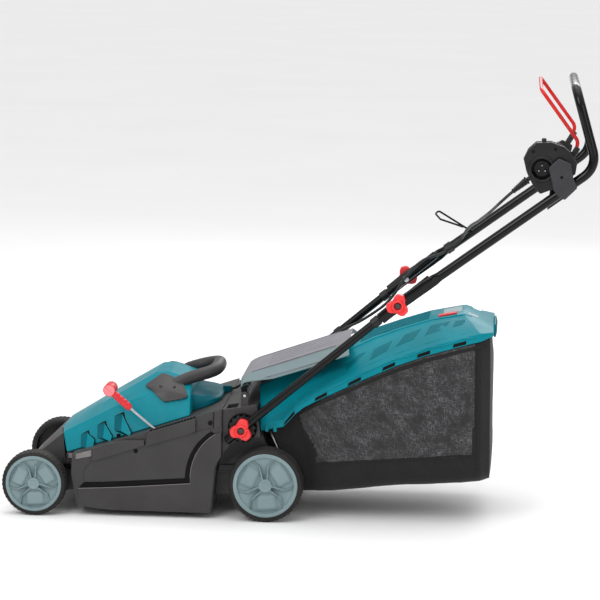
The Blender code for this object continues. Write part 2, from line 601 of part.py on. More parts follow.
def make_wheel(side, s, end, centre, radius, width, body):
    """A ribbed hub with a rubber tyre; the hub turns on the axle's stub."""
    spin = body_of(f"{end}_{side}_wheel", centre[0], s * TRACK_OUTER, centre[1], body)
    rim = radius * RIM_SHARE
    face, back = TRACK_OUTER, TRACK_OUTER - width
    bore = AXLE_ROD + RUNNING
    tyre = [(rim + GAP, -0.002), (rim + 0.002, -0.002), (radius - 0.004, -0.003), (radius, -0.009),
            (radius, -width + 0.008), (radius - 0.003, -width + 0.001), (rim + GAP, -width + 0.001)]
    web = 0.010
    hub = [(0.0, 0.0), (0.012, 0.0), (0.014, -0.004), (rim - 0.010, -0.004), (rim - 0.007, 0.0),
           (rim, -0.001),
           (rim, -width + 0.002), (rim - 0.003, -width + 0.002), (rim - 0.003, -web - 0.002),
           (0.011, -web - 0.002),
           (0.011, -width + 0.004), (bore, -width + 0.004), (bore, -0.009), (0.0, -0.009)]
    where = (centre[0], s * face, centre[1])
    turned(f"{end}_{side}_tyre", tyre, where, (0, s, 0), 24, RUBBER, spin)
    turned(f"{end}_{side}_hub", hub, where, (0, s, 0), 24, GREY_PLASTIC, spin)


def make_height_lever():
    """A steel rod that swings fore and aft through a slot, with its lower arm at the link."""
    base, grip = (0.264, 0.201), (0.166, 0.263)
    link_z = FRONT_LINK_PIN[1] + (REAR_LINK_PIN[1] - FRONT_LINK_PIN[1]) * (LEVER_PIVOT[0] / WHEELBASE) + 0.008
    lower = (LEVER_PIVOT[0] + (LEVER_PIVOT[1] - link_z) * 0.45, link_z)
    path = [(lower[0], -0.1530, lower[1]), (lower[0], LEVER_Y, lower[1]),
            (LEVER_PIVOT[0] + 0.004, LEVER_Y, LEVER_PIVOT[1]), (LEVER_PIVOT[0] - 0.012, LEVER_Y,
                                                                LEVER_PIVOT[1] + 0.008),
            (base[0], LEVER_Y, base[1]), (grip[0], LEVER_Y, grip[1])]
    lever = swept("height_lever_rod", rounded(path, 0.006, 2), LEVER_ROD, STEEL, LEVER_BODY, sides=8)
    eye = turned("eye", [(0.0046, -0.003), (0.009, -0.003), (0.009, 0.003), (0.0046, 0.003)],
                 (LEVER_PIVOT[0], LEVER_Y, LEVER_PIVOT[1]), (0, 1, 0), 16, STEEL)
    clear = rod("clear", (LEVER_PIVOT[0], LEVER_Y - 0.01, LEVER_PIVOT[1]),
                (LEVER_PIVOT[0], LEVER_Y + 0.01, LEVER_PIVOT[1]), 0.0046, STEEL)
    boolean(lever, "UNION", eye)
    boolean(lever, "DIFFERENCE", clear)

    angle = atan2(grip[1] - base[1], grip[0] - base[0])
    sleeve_start, sleeve_end = along(base, angle, 0.074), along(base, angle, 0.118)
    head = along(base, angle, 0.132)
    points = [(sleeve_start[0], LEVER_Y, sleeve_start[1]), (sleeve_end[0], LEVER_Y, sleeve_end[1])]
    knob = swept("height_lever_grip", [*points, (head[0], LEVER_Y, head[1])],
                 [(0.006, 0.008), (0.007, 0.009), (0.007, 0.009)], RED_PLASTIC, LEVER_BODY, sides=12)
    bar = turned("bar", [(0, 0), (0.011, 0), (0.0135, 0.002), (0.0135, 0.038), (0.011, 0.040), (0, 0.040)],
                 (head[0], LEVER_Y - 0.006, head[1]), (0, 1, 0), 16, RED_PLASTIC)
    socket = rod("socket", (base[0], LEVER_Y, base[1]), (grip[0], LEVER_Y, grip[1]), LEVER_ROD + GAP, STEEL,
                 sides=8)
    boolean(knob, "UNION", bar)
    boolean(knob, "DIFFERENCE", socket)


# ---- rear flap and grass catcher ------------------------------------------------------------------
def make_flap():
    """A bent plate over the chute: front lip, rounded nose and a top that lies on the catcher."""
    thickness, shoulder, drop = 0.003, 0.085, 0.019
    lip = [(0.4445, 0.2545), (0.4380, 0.268), (0.4345, 0.284), (0.4385, 0.297), (0.4500, 0.3045)]
    path = lip + [(0.4500 + t * 0.216, 0.3045 + t * 0.0745) for t in (0.25, 0.5, 0.75, 1.0)]
    rings = []
    for k, (x, z) in enumerate(path):
        before, after = path[max(0, k - 1)], path[min(len(path) - 1, k + 1)]
        length = hypot(after[0] - before[0], after[1] - before[1])
        nx, nz = -(after[1] - before[1]) / length, (after[0] - before[0]) / length
        ring = []
        for depth, order in ((0.0, 1), (thickness, -1)):
            for y in (-FLAP_HALF, -shoulder, shoulder, FLAP_HALF)[::order]:
                sink = depth + (drop * min(1.0, 0.35 + 0.13 * k) if abs(y) > shoulder else 0.0)
                ring.append((x - nx * sink, y, z - nz * sink))
        rings.append(ring)
    flap = loft("rear_flap", rings, GREY_PLASTIC, FLAP_BODY)
    knuckles = []
    for _, s in SIDES:
        knuckles.append(prism("knuckle", [*arc(FLAP_PIVOT, 0.0075, 170, 360, 8), (0.4565, 0.292),
                                          (0.4415, 0.285)],
                              s * 0.1485 - 0.0035, s * 0.1485 + 0.0035, GREY_PLASTIC))
    boolean(flap, "UNION", *knuckles)
    bore = rod("bore", (FLAP_PIVOT[0], -0.2, FLAP_PIVOT[1]), (FLAP_PIVOT[0], 0.2, FLAP_PIVOT[1]),
               FLAP_PIN + RUNNING, STEEL)
    boolean(flap, "DIFFERENCE", bore)
    rod("flap_pin", (FLAP_PIVOT[0], -0.1655, FLAP_PIVOT[1]), (FLAP_PIVOT[0], 0.1655, FLAP_PIVOT[1]),
        FLAP_PIN, STEEL)
    for side, s in SIDES:
        turns, steps, coil, wire, pitch = 3, 8, 0.0042, 0.0006, 0.0014
        path = [(FLAP_PIVOT[0] + coil * cos(2 * pi * k / steps), s * (0.1530 + pitch * k / steps),
                 FLAP_PIVOT[1] + coil * sin(2 * pi * k / steps)) for k in range(turns * steps + 1)]
        path.append((FLAP_PIVOT[0] + coil + 0.002, path[-1][1], FLAP_PIVOT[1] + 0.016))
        swept(f"flap_spring_{side}", path, wire, STEEL, None, sides=4)


LID_STATIONS = [(0.4820, 0.190, 0.150, 0.2760, 0.085), (0.534, 0.2005, 0.158, 0.3040, 0.084),
                (0.560, 0.230, 0.163, 0.3135, 0.083), (0.578, 0.245, 0.165, 0.3205, 0.082),
                (0.615, 0.265, 0.165, 0.3340, 0.080), (0.670, 0.291, 0.165, 0.3610, 0.074),
                (0.720, 0.316, 0.165, 0.3850, 0.068), (0.773, 0.340, 0.165, 0.4050, 0.064),
                (0.838, 0.3645, 0.165, 0.4260, 0.062), (0.914, 0.3870, 0.165, 0.4410, 0.062),
                (0.951, 0.396, 0.160, 0.4280, 0.060), (0.978, 0.404, 0.135, 0.4170, 0.056)]
RIM_BAND = 0.018


def lid_rings(inset):
    """Cross-sections from front to rear: foot of the rim, top of the rim band and edge of the top."""
    rings = []
    for x, rim, half, top, top_half in LID_STATIONS:
        foot = rim - (0.06 if inset else 0.0)
        band = min(rim + RIM_BAND, top - 0.004)
        right = [(x, half - inset, foot), (x, half - inset, band - inset * 0.6), (x, top_half - inset * 0.3,
                 top - inset)]
        rings.append(right + [(px, -py, pz) for px, py, pz in reversed(right)])
    rings[0] = [(catcher_front(z) + 2 * GAP, y, z) for _, y, z in rings[0]]
    return rings


def make_lid():
    lid = loft("catcher_lid", lid_rings(0.0), HOOD_PLASTIC, CATCHER_BODY)
    rings = lid_rings(LID_WALL)
    rings[0] = [(x - 0.02, y, z - 0.006) for x, y, z in rings[0]]
    rings[-1] = [(x - LID_WALL, y, z) for x, y, z in rings[-1]]
    hollow = loft("hollow", rings, HOOD_PLASTIC)
    grip = turned("grip", [(0, -0.06), (0.016, -0.06), (0.016, 0.06), (0, 0.06)],
                  (0.990, 0, 0.405), (0, 1, 0), 12, HOOD_PLASTIC)
    boolean(lid, "DIFFERENCE", hollow)
    boolean(lid, "UNION", grip)


def make_level_flag():
    """A red flag on the lid that the air stream lifts; it drops when the catcher is full."""
    start, end = (0.858, 0.4317), (0.897, 0.4394)
    low, high = -0.0012, 0.0016
    outline = [(start[0], start[1] + low), (end[0], end[1] + low), (end[0], end[1] + high),
               (start[0], start[1] + high)]
    flag_body = body_of("level_flag", start[0], 0, start[1], CATCHER_BODY)
    prism("level_flag", outline, -0.0505, -0.0315, RED_PLASTIC, flag_body)


def bag_ring(top_x, foot_x, low, high, half, corner=0.025, shoulder=0.001):
    """A rounded rectangle across the bag; the foot may stand behind the top."""
    ring = []
    for side, turn, start in ((1, corner, -90), (1, shoulder, 0), (-1, shoulder, 90), (-1, corner, 180)):
        middle = low + corner if start in (-90, 180) else high - shoulder
        for k in range(3):
            angle = radians(start + 45 * k)
            y, z = side * (half - turn) + turn * cos(angle), middle + turn * sin(angle)
            ring.append((foot_x + (top_x - foot_x) * (z - low) / (high - low), y, z))
    return ring


BAG_STATIONS = [(0.505, 0.566, 0.052, 0.136), (0.534, 0.583, 0.0535, 0.136), (0.560, 0.600, 0.055, 0.140),
                (0.578, 0.612, 0.057, 0.150), (0.615, 0.640, 0.061, 0.162), (0.670, 0.682, 0.066, 0.1635),
                (0.720, 0.724, 0.071, 0.1635), (0.773, 0.773, 0.077, 0.1635), (0.838, 0.838, 0.082, 0.1635),
                (0.914, 0.914, 0.087, 0.1635), (0.951, 0.956, 0.091, 0.1585), (0.972, 0.976, 0.100, 0.142)]


def lid_rim(x):
    """Height of the lid's lower edge."""
    for low, high in zip(LID_STATIONS, LID_STATIONS[1:]):
        if x <= high[0]:
            break
    return low[1] + (x - low[0]) / (high[0] - low[0]) * (high[1] - low[1])


def make_bag():
    """Fabric walls and floor, open to the lid above and to the chute in front."""
    outer = [bag_ring(top_x, foot_x, low, lid_rim(top_x) - 2 * GAP, half)
             for top_x, foot_x, low, half in BAG_STATIONS]
    bag = loft("catcher_bag", outer, BAG_FABRIC, CATCHER_BODY, sharp=50)
    rings = [bag_ring(top_x, foot_x, low + BAG_WALL, lid_rim(top_x) + 0.05, half - BAG_WALL)
             for top_x, foot_x, low, half in BAG_STATIONS]
    rings[0] = [(x - 0.030, y, z) for x, y, z in rings[0]]
    rings[-1] = [(x - BAG_WALL, y, z) for x, y, z in rings[-1]]
    return boolean(bag, "DIFFERENCE", loft("hollow", rings, BAG_FABRIC))


def make_catcher_frame():
    """One steel wire bent round the mouth of the bag."""
    top_x, foot_x, low, half = BAG_STATIONS[0]
    seam = BAG_WALL / 2
    high = lid_rim(top_x)
    ring = bag_ring(top_x, foot_x, low + seam, high - 2 * seam, half - seam, shoulder=0.018)
    mouth = Vector((foot_x - top_x, 0, low - high)).normalized()
    ahead = Vector((mouth.z, 0, -mouth.x)) * (WIRE + 2 * GAP)
    return swept("catcher_frame", [Vector(p) + ahead for p in ring], WIRE, STEEL, CATCHER_BODY, sides=8,
                 closed=True)


# ---- handle ---------------------------------------------------------------------------------------
def make_lower_tube(side, s):
    start = along(LOW_PIVOT, LOWER_ANGLE + pi, 0.043)
    end = along(MID_PIVOT, LOWER_ANGLE, 0.086)
    y = s * LOWER_TUBE_Y
    tube = swept(f"lower_tube_{side}", [(start[0], y, start[1]), (end[0], y, end[1])], LOWER_TUBE,
                 BLACK_PAINT, LOWER_BODY, sides=14, wall=0.0015)
    holes = [rod("hole", (x, y - 0.02, z), (x, y + 0.02, z), BOLT_RADIUS + GAP, STEEL)
             for x, z in (LOW_PIVOT, MID_PIVOT)]
    boolean(tube, "DIFFERENCE", *holes)


def upper_handle_half(s):
    """Points and radii of one leg of the upper handle, from its crushed lower end to the top bar."""
    inner_face = LOWER_TUBE_Y + LOWER_TUBE + GAP
    crushed = 0.0035
    flat_y = s * (inner_face + crushed)
    low = along(MID_PIVOT, LOWER_ANGLE + pi, 0.048)
    places = [(low, flat_y, (crushed, 0.0125)), (MID_PIVOT, flat_y, (crushed, 0.0130)),
              (along(MID_PIVOT, UPPER_ANGLE, 0.060), flat_y, (crushed, 0.0125)),
              (along(MID_PIVOT, UPPER_ANGLE, 0.090), s * (inner_face + 0.0045), (0.0045, 0.0120)),
              (along(MID_PIVOT, UPPER_ANGLE, 0.107), s * UPPER_TUBE_Y, (UPPER_TUBE, UPPER_TUBE))]
    return places


def make_upper_handle():
    y = UPPER_TUBE_Y
    left, right = upper_handle_half(-1), upper_handle_half(1)
    start, finish = left[-1], right[-1]
    corners = [(start[0][0], -y, start[0][1]), (UPPER_CORNER[0], -y, UPPER_CORNER[1]),
               (GRIP_TOP[0], -y, GRIP_TOP[1]), (GRIP_TOP[0], y, GRIP_TOP[1]),
               (UPPER_CORNER[0], y, UPPER_CORNER[1]), (finish[0][0], y, finish[0][1])]
    bend = rounded(corners, 0.045, 4)
    path = [(p[0], py, p[1]) for p, py, _ in left] + bend[1:-1] + [(p[0], py, p[1]) for p, py,
        _ in right[::-1]]
    radii = [r for _, _, r in left] + [(UPPER_TUBE, UPPER_TUBE)] * (len(bend) - 2) + [r for _, _,
        r in right[::-1]]
    handle = swept("upper_handle", path, radii, BLACK_PAINT, UPPER_BODY, sides=10, wall=0.0015)
    holes = [rod("hole", (MID_PIVOT[0], s * 0.185, MID_PIVOT[1]), (MID_PIVOT[0], s * 0.215, MID_PIVOT[1]),
                 BOLT_RADIUS + GAP, STEEL) for _, s in SIDES]
    boolean(handle, "DIFFERENCE", *holes)


def make_saddle(side, s):
    """A toothed disc between the deck and the tube, grooved to seat the tube."""
    inner, outer = SHOULDER_HALF + GAP, LOWER_TUBE_Y + 0.002
    teeth, radius = 14, 0.029
    outline = []
    for k in range(teeth):
        for share, reach in ((0.0, radius), (0.45, radius), (0.5, radius - 0.003), (0.95, radius - 0.003)):
            angle = 2 * pi * (k + share) / teeth
            outline.append((LOW_PIVOT[0] + reach * cos(angle), LOW_PIVOT[1] + reach * sin(angle)))
    saddle = prism(f"pivot_disc_{side}", outline, *sorted((s * inner, s * outer)), BLACK_PLASTIC, LOWER_BODY)
    a, b = along(LOW_PIVOT, LOWER_ANGLE + pi, 0.06), along(LOW_PIVOT, LOWER_ANGLE, 0.06)
    groove = rod("groove", (a[0], s * LOWER_TUBE_Y, a[1]), (b[0], s * LOWER_TUBE_Y, b[1]),
                 LOWER_TUBE + GAP, STEEL, sides=14)
    hole = rod("hole", (LOW_PIVOT[0], s * 0.16, LOW_PIVOT[1]), (LOW_PIVOT[0], s * 0.2, LOW_PIVOT[1]),
               BOLT_RADIUS + GAP, STEEL)
    boolean(saddle, "DIFFERENCE", groove, hole)


def make_bolt(name, pivot, s, head_y, end_y, body):
    """A bolt along Y: a domed head on the inside, its thread under the knob."""
    length = end_y - head_y
    turned(name, [(0, 0), (0.005, 0), (0.007, BOLT_HEAD), (BOLT_RADIUS, BOLT_HEAD), (BOLT_RADIUS, length),
                  (0, length)],
           (pivot[0], s * head_y, pivot[1]), (0, s, 0), 12, STEEL, body)


def make_knob(name, pivot, s, face_y, parent):
    """A three-lobed hand nut that turns on its bolt."""
    spin = body_of(name, pivot[0], s * face_y, pivot[1], parent)
    count, waist = 36, 0.0165
    outline = []
    for k in range(count):
        angle = 2 * pi * k / count
        reach = waist + (KNOB_RADIUS - waist) * (0.5 + 0.5 * cos(3 * (angle - pi / 2 - 0.25 * s))) ** 1.2
        outline.append((pivot[0] + reach * cos(angle), pivot[1] + reach * sin(angle)))
    depth = 0.018
    knob = prism(name, outline, *sorted((s * face_y, s * (face_y + depth))), RED_PLASTIC, spin)
    collar = turned("collar", [(0, depth - 0.001), (0.012, depth - 0.001), (0.010, depth + 0.003),
                               (0, depth + 0.003)],
                    (pivot[0], s * face_y, pivot[1]), (0, s, 0), 20, RED_PLASTIC)
    bore = rod("bore", (pivot[0], s * (face_y - 0.01), pivot[1]), (pivot[0], s * (face_y + 0.03), pivot[1]),
               BOLT_RADIUS + RUNNING, STEEL)
    boolean(knob, "UNION", collar)
    boolean(knob, "DIFFERENCE", bore)


# ---- switch box, bail and cable ----------------------------------------------------------------
BOX_OUTLINE = [(1.033, 0.792), (1.040, 0.764), (1.048, 0.747), (1.058, 0.729), (1.069, 0.720),
               (1.095, 0.7305),
               (1.140, 0.7625), (1.143, 0.785), (1.131, 0.806), (1.117, 0.8187), (1.088, 0.828),
               (1.058, 0.8265),
               (1.042, 0.8115)]
BOX_INNER, BOX_OUTER = -0.168, -0.208
PLUG_CENTRE = (1.071, 0.772)
PLUG_RADIUS = 0.022


def bail_slot(y_low, y_high):
    """Room for one foot of the bail to swing, round a pin that stays in the housing."""
    swing = prism("swing", [BAIL_PIVOT, along(BAIL_PIVOT, radians(5), 0.05), along(BAIL_PIVOT, radians(48),
                            0.06),
                            along(BAIL_PIVOT, radians(104), 0.05)], y_low, y_high, STEEL)
    middle = (BAIL_PIVOT[0], (y_low + y_high) / 2, BAIL_PIVOT[1])
    half = (y_high - y_low) / 2
    barrel = turned("barrel", [(0, -half), (0.0105, -half), (0.0105, half), (0, half)], middle, (0, 1, 0),
                    20, STEEL)
    pin = rod("pin", (middle[0], y_low - 0.01, middle[2]), (middle[0], y_high + 0.01, middle[2]), 0.0036,
              STEEL)
    boolean(swing, "UNION", barrel)
    return boolean(swing, "DIFFERENCE", pin)


def tube_foot(s):
    """The plate that screws a switch housing to the inner side of the upper tube."""
    face = s * (UPPER_TUBE_Y - UPPER_TUBE - GAP)
    outline = [(1.084, 0.684), (1.128, 0.716), (1.132, 0.764), (1.090, 0.740)]
    return prism("foot", outline, *sorted((face, face - s * 0.006)), BLACK_PLASTIC)


def make_switch_box():
    box = prism("switch_box", BOX_OUTLINE, BOX_OUTER, BOX_INNER, BLACK_PLASTIC, UPPER_BODY)
    recess = rod("recess", (PLUG_CENTRE[0], BOX_OUTER + 0.024, PLUG_CENTRE[1]),
                 (PLUG_CENTRE[0], BOX_OUTER - 0.01, PLUG_CENTRE[1]), PLUG_RADIUS, STEEL, sides=24)
    button_bore = rod("button_bore", (1.074, -0.186, 0.806), (1.074, -0.186, 0.85), 0.0056, STEEL, sides=16)
    relief_bore = rod("relief_bore", (1.060, -0.186, 0.7625), (1.020, -0.186, 0.7285), 0.0052, STEEL,
                      sides=12)
    boolean(box, "DIFFERENCE", recess, button_bore, relief_bore, bail_slot(-BAIL_Y - 0.0075,
            -BAIL_Y + 0.0075))
    boolean(box, "UNION", tube_foot(-1))

    cover = [(1.0845, 0.776), (1.096, 0.729), (1.1065, 0.716), (1.1195, 0.7095), (1.145, 0.735),
             (1.136, 0.756),
             (1.131, 0.785), (1.105, 0.796)]
    prism("switch_cover", cover, -0.221, BOX_OUTER - GAP, GREY_DARK, UPPER_BODY)
    inlet = turned("plug_inlet", [(0, 0), (0.0165, 0), (0.0165, 0.010), (0, 0.010)],
                   (PLUG_CENTRE[0], BOX_OUTER + 0.024 - GAP, PLUG_CENTRE[1]), (0, -1, 0), 20, BLACK_PLASTIC,
                   UPPER_BODY)
    pins = [rod("pin", (PLUG_CENTRE[0] + 0.0075 * cos(a), BOX_OUTER + 0.02, PLUG_CENTRE[1] + 0.0075 * sin(a)),
                (PLUG_CENTRE[0] + 0.0075 * cos(a), BOX_OUTER + 0.002, PLUG_CENTRE[1] + 0.0075 * sin(a)),
                0.002,
                STEEL, sides=8) for a in (radians(-30), radians(90), radians(210))]
    boolean(inlet, "UNION", *pins)

    button_body = body_of("lock_button", 1.074, -0.186, 0.826, UPPER_BODY)
    turned("lock_button", [(0, 0.8125), (0.005, 0.8125), (0.005, 0.833), (0.0038, 0.8345), (0, 0.8345)],
           (1.074, -0.186, 0), (0, 0, 1), 16, BLACK_PLASTIC, button_body)


def make_bail():
    """A red rod bent to a wide U, with a black foot at each end that turns on a pin."""
    top, knee, foot = (1.066, 0.938), (1.1440, 0.828), (1.1385, 0.8055)
    corners = []
    for s in (-1, 1):
        leg = [(foot[0], s * BAIL_Y, foot[1]), (knee[0] + 0.004, s * BAIL_Y, knee[1] - 0.008),
               (knee[0], s * BAIL_Y, knee[1]), (top[0], s * BAIL_Y, top[1])]
        corners += leg if s < 0 else leg[::-1]
    path = rounded(corners, 0.014, 3)
    bail = swept("bail_lever", path, BAIL_ROD, RED_PAINT, BAIL_BODY, sides=8)
    feet = []
    for s in (-1, 1):
        y = s * BAIL_Y
        feet.append(swept("foot", [(BAIL_PIVOT[0] + 0.0034, y, BAIL_PIVOT[1] + 0.0056),
                                   (foot[0] + 0.003, y, foot[1] + 0.005)], 0.0062, BLACK_PLASTIC, sides=10))
        feet.append(turned("barrel", [(0.0042, -0.006), (0.0085, -0.006), (0.0085, 0.006), (0.0042, 0.006)],
                           (BAIL_PIVOT[0], y, BAIL_PIVOT[1]), (0, 1, 0), 16, BLACK_PLASTIC))
    boolean(bail, "UNION", *feet)
    bores = [rod("bore", (BAIL_PIVOT[0], s * BAIL_Y - 0.01, BAIL_PIVOT[1]),
                 (BAIL_PIVOT[0], s * BAIL_Y + 0.01, BAIL_PIVOT[1]), 0.0042, STEEL) for s in (-1, 1)]
    boolean(bail, "DIFFERENCE", *bores)

    outline = [(1.094, 0.7305), (1.135, 0.7605), (1.140, 0.785), (1.118, 0.796), (1.094, 0.785)]
    bracket = prism("bail_bracket", outline, 0.168, 0.190, BLACK_PLASTIC, UPPER_BODY)
    boolean(bracket, "DIFFERENCE", bail_slot(BAIL_Y - 0.0075, BAIL_Y + 0.0075))
    boolean(bracket, "UNION", tube_foot(1))


RELIEF_END = (1.0105, -0.186, 0.7205)
UPPER_CLIP = along(MID_PIVOT, UPPER_ANGLE, 0.118)
LOWER_CLIP = along(LOW_PIVOT, LOWER_ANGLE, 0.236)
CLIP_IN = 0.0065                    # a tube's surface to the middle of the cable in its clip
UPPER_HOLD_Y = UPPER_TUBE_Y - UPPER_TUBE - CLIP_IN
LOWER_HOLD_Y = LOWER_TUBE_Y - LOWER_TUBE - CLIP_IN


def make_cable():
    turned("strain_relief", [(CABLE + GAP, 0.0), (0.0048, 0.0), (0.0048, 0.018), (0.0090, 0.0185),
                             (0.0080, 0.030), (0.0055, 0.058), (CABLE + GAP, 0.058)],
           (1.0555, -0.186, 0.7587), (RELIEF_END[0] - 1.0555, 0, RELIEF_END[2] - 0.7587), 16,
           BLACK_PLASTIC, UPPER_BODY)
    upper_hold = (UPPER_CLIP[0], UPPER_HOLD_Y, UPPER_CLIP[1])
    lower_hold = (LOWER_CLIP[0], LOWER_HOLD_Y, LOWER_CLIP[1])
    lead = (RELIEF_END[0] + 0.030, RELIEF_END[1], RELIEF_END[2] + 0.0255)

    def held(clip, angle, y, distance):
        x, z = along(clip, angle, distance)
        return (x, y, z)

    def at_upper(distance):
        return held(UPPER_CLIP, UPPER_ANGLE, UPPER_HOLD_Y, distance)

    def at_lower(distance):
        return held(LOWER_CLIP, LOWER_ANGLE, LOWER_HOLD_Y, distance)

    relief_end = (RELIEF_END[0] - 0.0023, RELIEF_END[1], RELIEF_END[2] - 0.0020)
    cable("cable_upper", [lead, *[tuple(Vector(lead).lerp(Vector(relief_end), t)) for t in (0.35, 0.7, 1.0)],
                          (0.997, -0.181, 0.7075), (0.972, -0.120, 0.676), (0.940, 0.010, 0.634),
                          (0.912, 0.130, 0.598), at_upper(0.020), at_upper(0.009), at_upper(GAP)], UPPER_BODY)
    cable("cable_middle", [at_upper(-GAP), at_upper(-0.0075), at_upper(-0.0152), (0.8445, 0.1705, 0.5335),
                           (0.828, 0.1690, 0.5290), (0.806, 0.1660, 0.5160), (0.786, 0.1630, 0.4940),
                           (0.772, 0.1610, 0.4780),
                           (0.757, 0.1590, 0.4520), (0.735, 0.1590, 0.4240), (0.705, 0.1630, 0.4000),
                           (0.672, 0.1675, 0.3780), at_lower(0.015), at_lower(0.0075), at_lower(GAP)],
          LOWER_BODY)
    cable("cable_lower", [at_lower(-GAP), at_lower(-0.0075), at_lower(-0.015), (0.585, 0.1675, 0.3155),
                          (0.540, 0.1700, 0.2870),
                          (0.497, 0.1700, 0.2720), (0.456, 0.1705, 0.2620), (0.437, 0.1675, 0.2560),
                          (0.4265, 0.150, 0.2545), (0.4235, 0.125, 0.2545), (0.421, 0.085, 0.2540),
                          (0.4175, 0.045, 0.2500), (0.4110, 0.0318, 0.2470), (0.4045, 0.0300, 0.2458),
                          (0.385, 0.030, 0.2458)], None)
    for name, spot, angle, radius, tube_y, hold_y, body in (
            ("cable_clip_upper", UPPER_CLIP, UPPER_ANGLE, UPPER_TUBE, UPPER_TUBE_Y, UPPER_HOLD_Y, UPPER_BODY),
            ("cable_clip_lower", LOWER_CLIP, LOWER_ANGLE, LOWER_TUBE, LOWER_TUBE_Y, LOWER_HOLD_Y,
             LOWER_BODY)):
        half = 0.008
        a, b = along(spot, angle, -half), along(spot, angle, half)
        bigger = radius + 0.0022
        clip = rod(name, (a[0], tube_y, a[1]), (b[0], tube_y, b[1]), bigger, BLACK_PLASTIC, body, 16)
        hook = rod("hook", (a[0], hold_y, a[1]), (b[0], hold_y, b[1]), CABLE + 0.002,
                   BLACK_PLASTIC, None, 12)
        boolean(clip, "UNION", hook)
        a, b = along(spot, angle, -0.02), along(spot, angle, 0.02)
        bores = [rod("bore", (a[0], tube_y, a[1]), (b[0], tube_y, b[1]), radius + GAP, STEEL, None, 14),
                 rod("bore", (a[0], hold_y, a[1]), (b[0], hold_y, b[1]), CABLE + 2 * GAP,
                     STEEL, None, 12)]
        boolean(clip, "DIFFERENCE", *bores)


def make_cord_hook():
    """A bent wire loop on the right tube that takes the pull off the mains lead."""
    root = along(MID_PIVOT, UPPER_ANGLE, 0.172)
    y, wire = UPPER_TUBE_Y - UPPER_TUBE - 0.0025, 0.0022
    tip = (0.842, 0.628)
    path = rounded([(root[0] + 0.010, y, root[1] + 0.008), (root[0] - 0.004, y - 0.004, root[1] + 0.014),
                    (tip[0] + 0.006, y - 0.004, tip[1] + 0.004), (tip[0] - 0.002, y - 0.010, tip[1] - 0.001),
                    (tip[0] + 0.010, y - 0.024, tip[1] - 0.012), (root[0] - 0.012, y - 0.024,
                        root[1] + 0.020)],
                   0.006, 3)
    swept("cord_hook", path, wire, STEEL, UPPER_BODY, sides=8)


def main():
    make_deck()
    make_hood()
    make_nose()
    make_carry_handle()
    make_motor()
    make_blade()
    make_axle("front_axle", FRONT_WHEEL, FRONT_SHAFT, FRONT_LINK_PIN, FRONT_AXLE_BODY)
    make_axle("rear_axle", REAR_WHEEL, REAR_SHAFT, REAR_LINK_PIN, REAR_AXLE_BODY)
    make_link()
    for side, s in SIDES:
        make_wheel(side, s, "front", FRONT_WHEEL, FRONT_RADIUS, FRONT_WIDTH, FRONT_AXLE_BODY)
        make_wheel(side, s, "rear", REAR_WHEEL, REAR_RADIUS, REAR_WIDTH, REAR_AXLE_BODY)
        make_lower_tube(side, s)
        make_saddle(side, s)
        make_bolt(f"low_bolt_{side}", LOW_PIVOT, s, POCKET_FACE - GAP - BOLT_HEAD, 0.2080, None)
        make_bolt(f"mid_bolt_{side}", MID_PIVOT, s, LOWER_TUBE_Y - LOWER_TUBE - 2 * GAP - BOLT_HEAD, 0.2130,
                  LOWER_BODY)
        make_knob(f"low_knob_{side}", LOW_PIVOT, s, LOWER_TUBE_Y + LOWER_TUBE + GAP, MOWER)
        make_knob(f"mid_knob_{side}", MID_PIVOT, s, LOWER_TUBE_Y + LOWER_TUBE + 2 * GAP + 0.0071, LOWER_BODY)
    make_height_lever()
    make_flap()
    make_lid()
    make_level_flag()
    make_bag()
    make_catcher_frame()
    make_upper_handle()
    make_switch_box()
    make_bail()
    make_cable()
    make_cord_hook()
    centre_on_footprint()


def centre_on_footprint():
    """Put the origin in the middle of the mower's box, on the ground."""
    bpy.context.view_layer.update()
    graph = bpy.context.evaluated_depsgraph_get()
    corners = []
    for piece in SCENE.objects:
        if piece.type == "MESH":
            corners += [piece.matrix_world @ v.co for v in piece.evaluated_get(graph).data.vertices]
    low = [min(c[k] for c in corners) for k in range(3)]
    high = [max(c[k] for c in corners) for k in range(3)]
    MOWER.location = (-(low[0] + high[0]) / 2, -(low[1] + high[1]) / 2, -low[2])


main()
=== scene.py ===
from math import atan2, ceil, cos, hypot, pi, radians, sin

import bmesh
import bpy
from mathutils import Matrix, Vector, noise
from mathutils.bvhtree import BVHTree


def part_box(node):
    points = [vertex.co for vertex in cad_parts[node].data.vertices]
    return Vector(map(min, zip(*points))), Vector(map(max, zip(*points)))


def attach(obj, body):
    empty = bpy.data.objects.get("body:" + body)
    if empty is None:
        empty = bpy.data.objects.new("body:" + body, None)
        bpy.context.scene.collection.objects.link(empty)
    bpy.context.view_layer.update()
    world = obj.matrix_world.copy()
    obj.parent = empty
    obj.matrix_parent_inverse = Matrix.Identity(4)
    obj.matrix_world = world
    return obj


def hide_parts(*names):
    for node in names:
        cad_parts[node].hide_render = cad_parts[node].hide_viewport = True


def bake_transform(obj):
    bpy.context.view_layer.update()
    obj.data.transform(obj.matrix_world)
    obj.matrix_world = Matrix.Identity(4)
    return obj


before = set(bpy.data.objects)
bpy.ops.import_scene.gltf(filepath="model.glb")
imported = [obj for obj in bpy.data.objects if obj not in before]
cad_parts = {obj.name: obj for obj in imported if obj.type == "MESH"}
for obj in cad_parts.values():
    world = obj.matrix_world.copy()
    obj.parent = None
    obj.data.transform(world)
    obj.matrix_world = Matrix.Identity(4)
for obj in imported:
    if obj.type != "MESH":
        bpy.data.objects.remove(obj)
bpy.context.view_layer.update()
print("frame loaded:", len(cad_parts), "parts")

# Sizes below are metres from the front wheels' centre line, as the part's own drawing has them.
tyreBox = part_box("front_left_tyre")
home = Vector(((tyreBox[0][0] + tyreBox[1][0]) / 2, 0, 0))

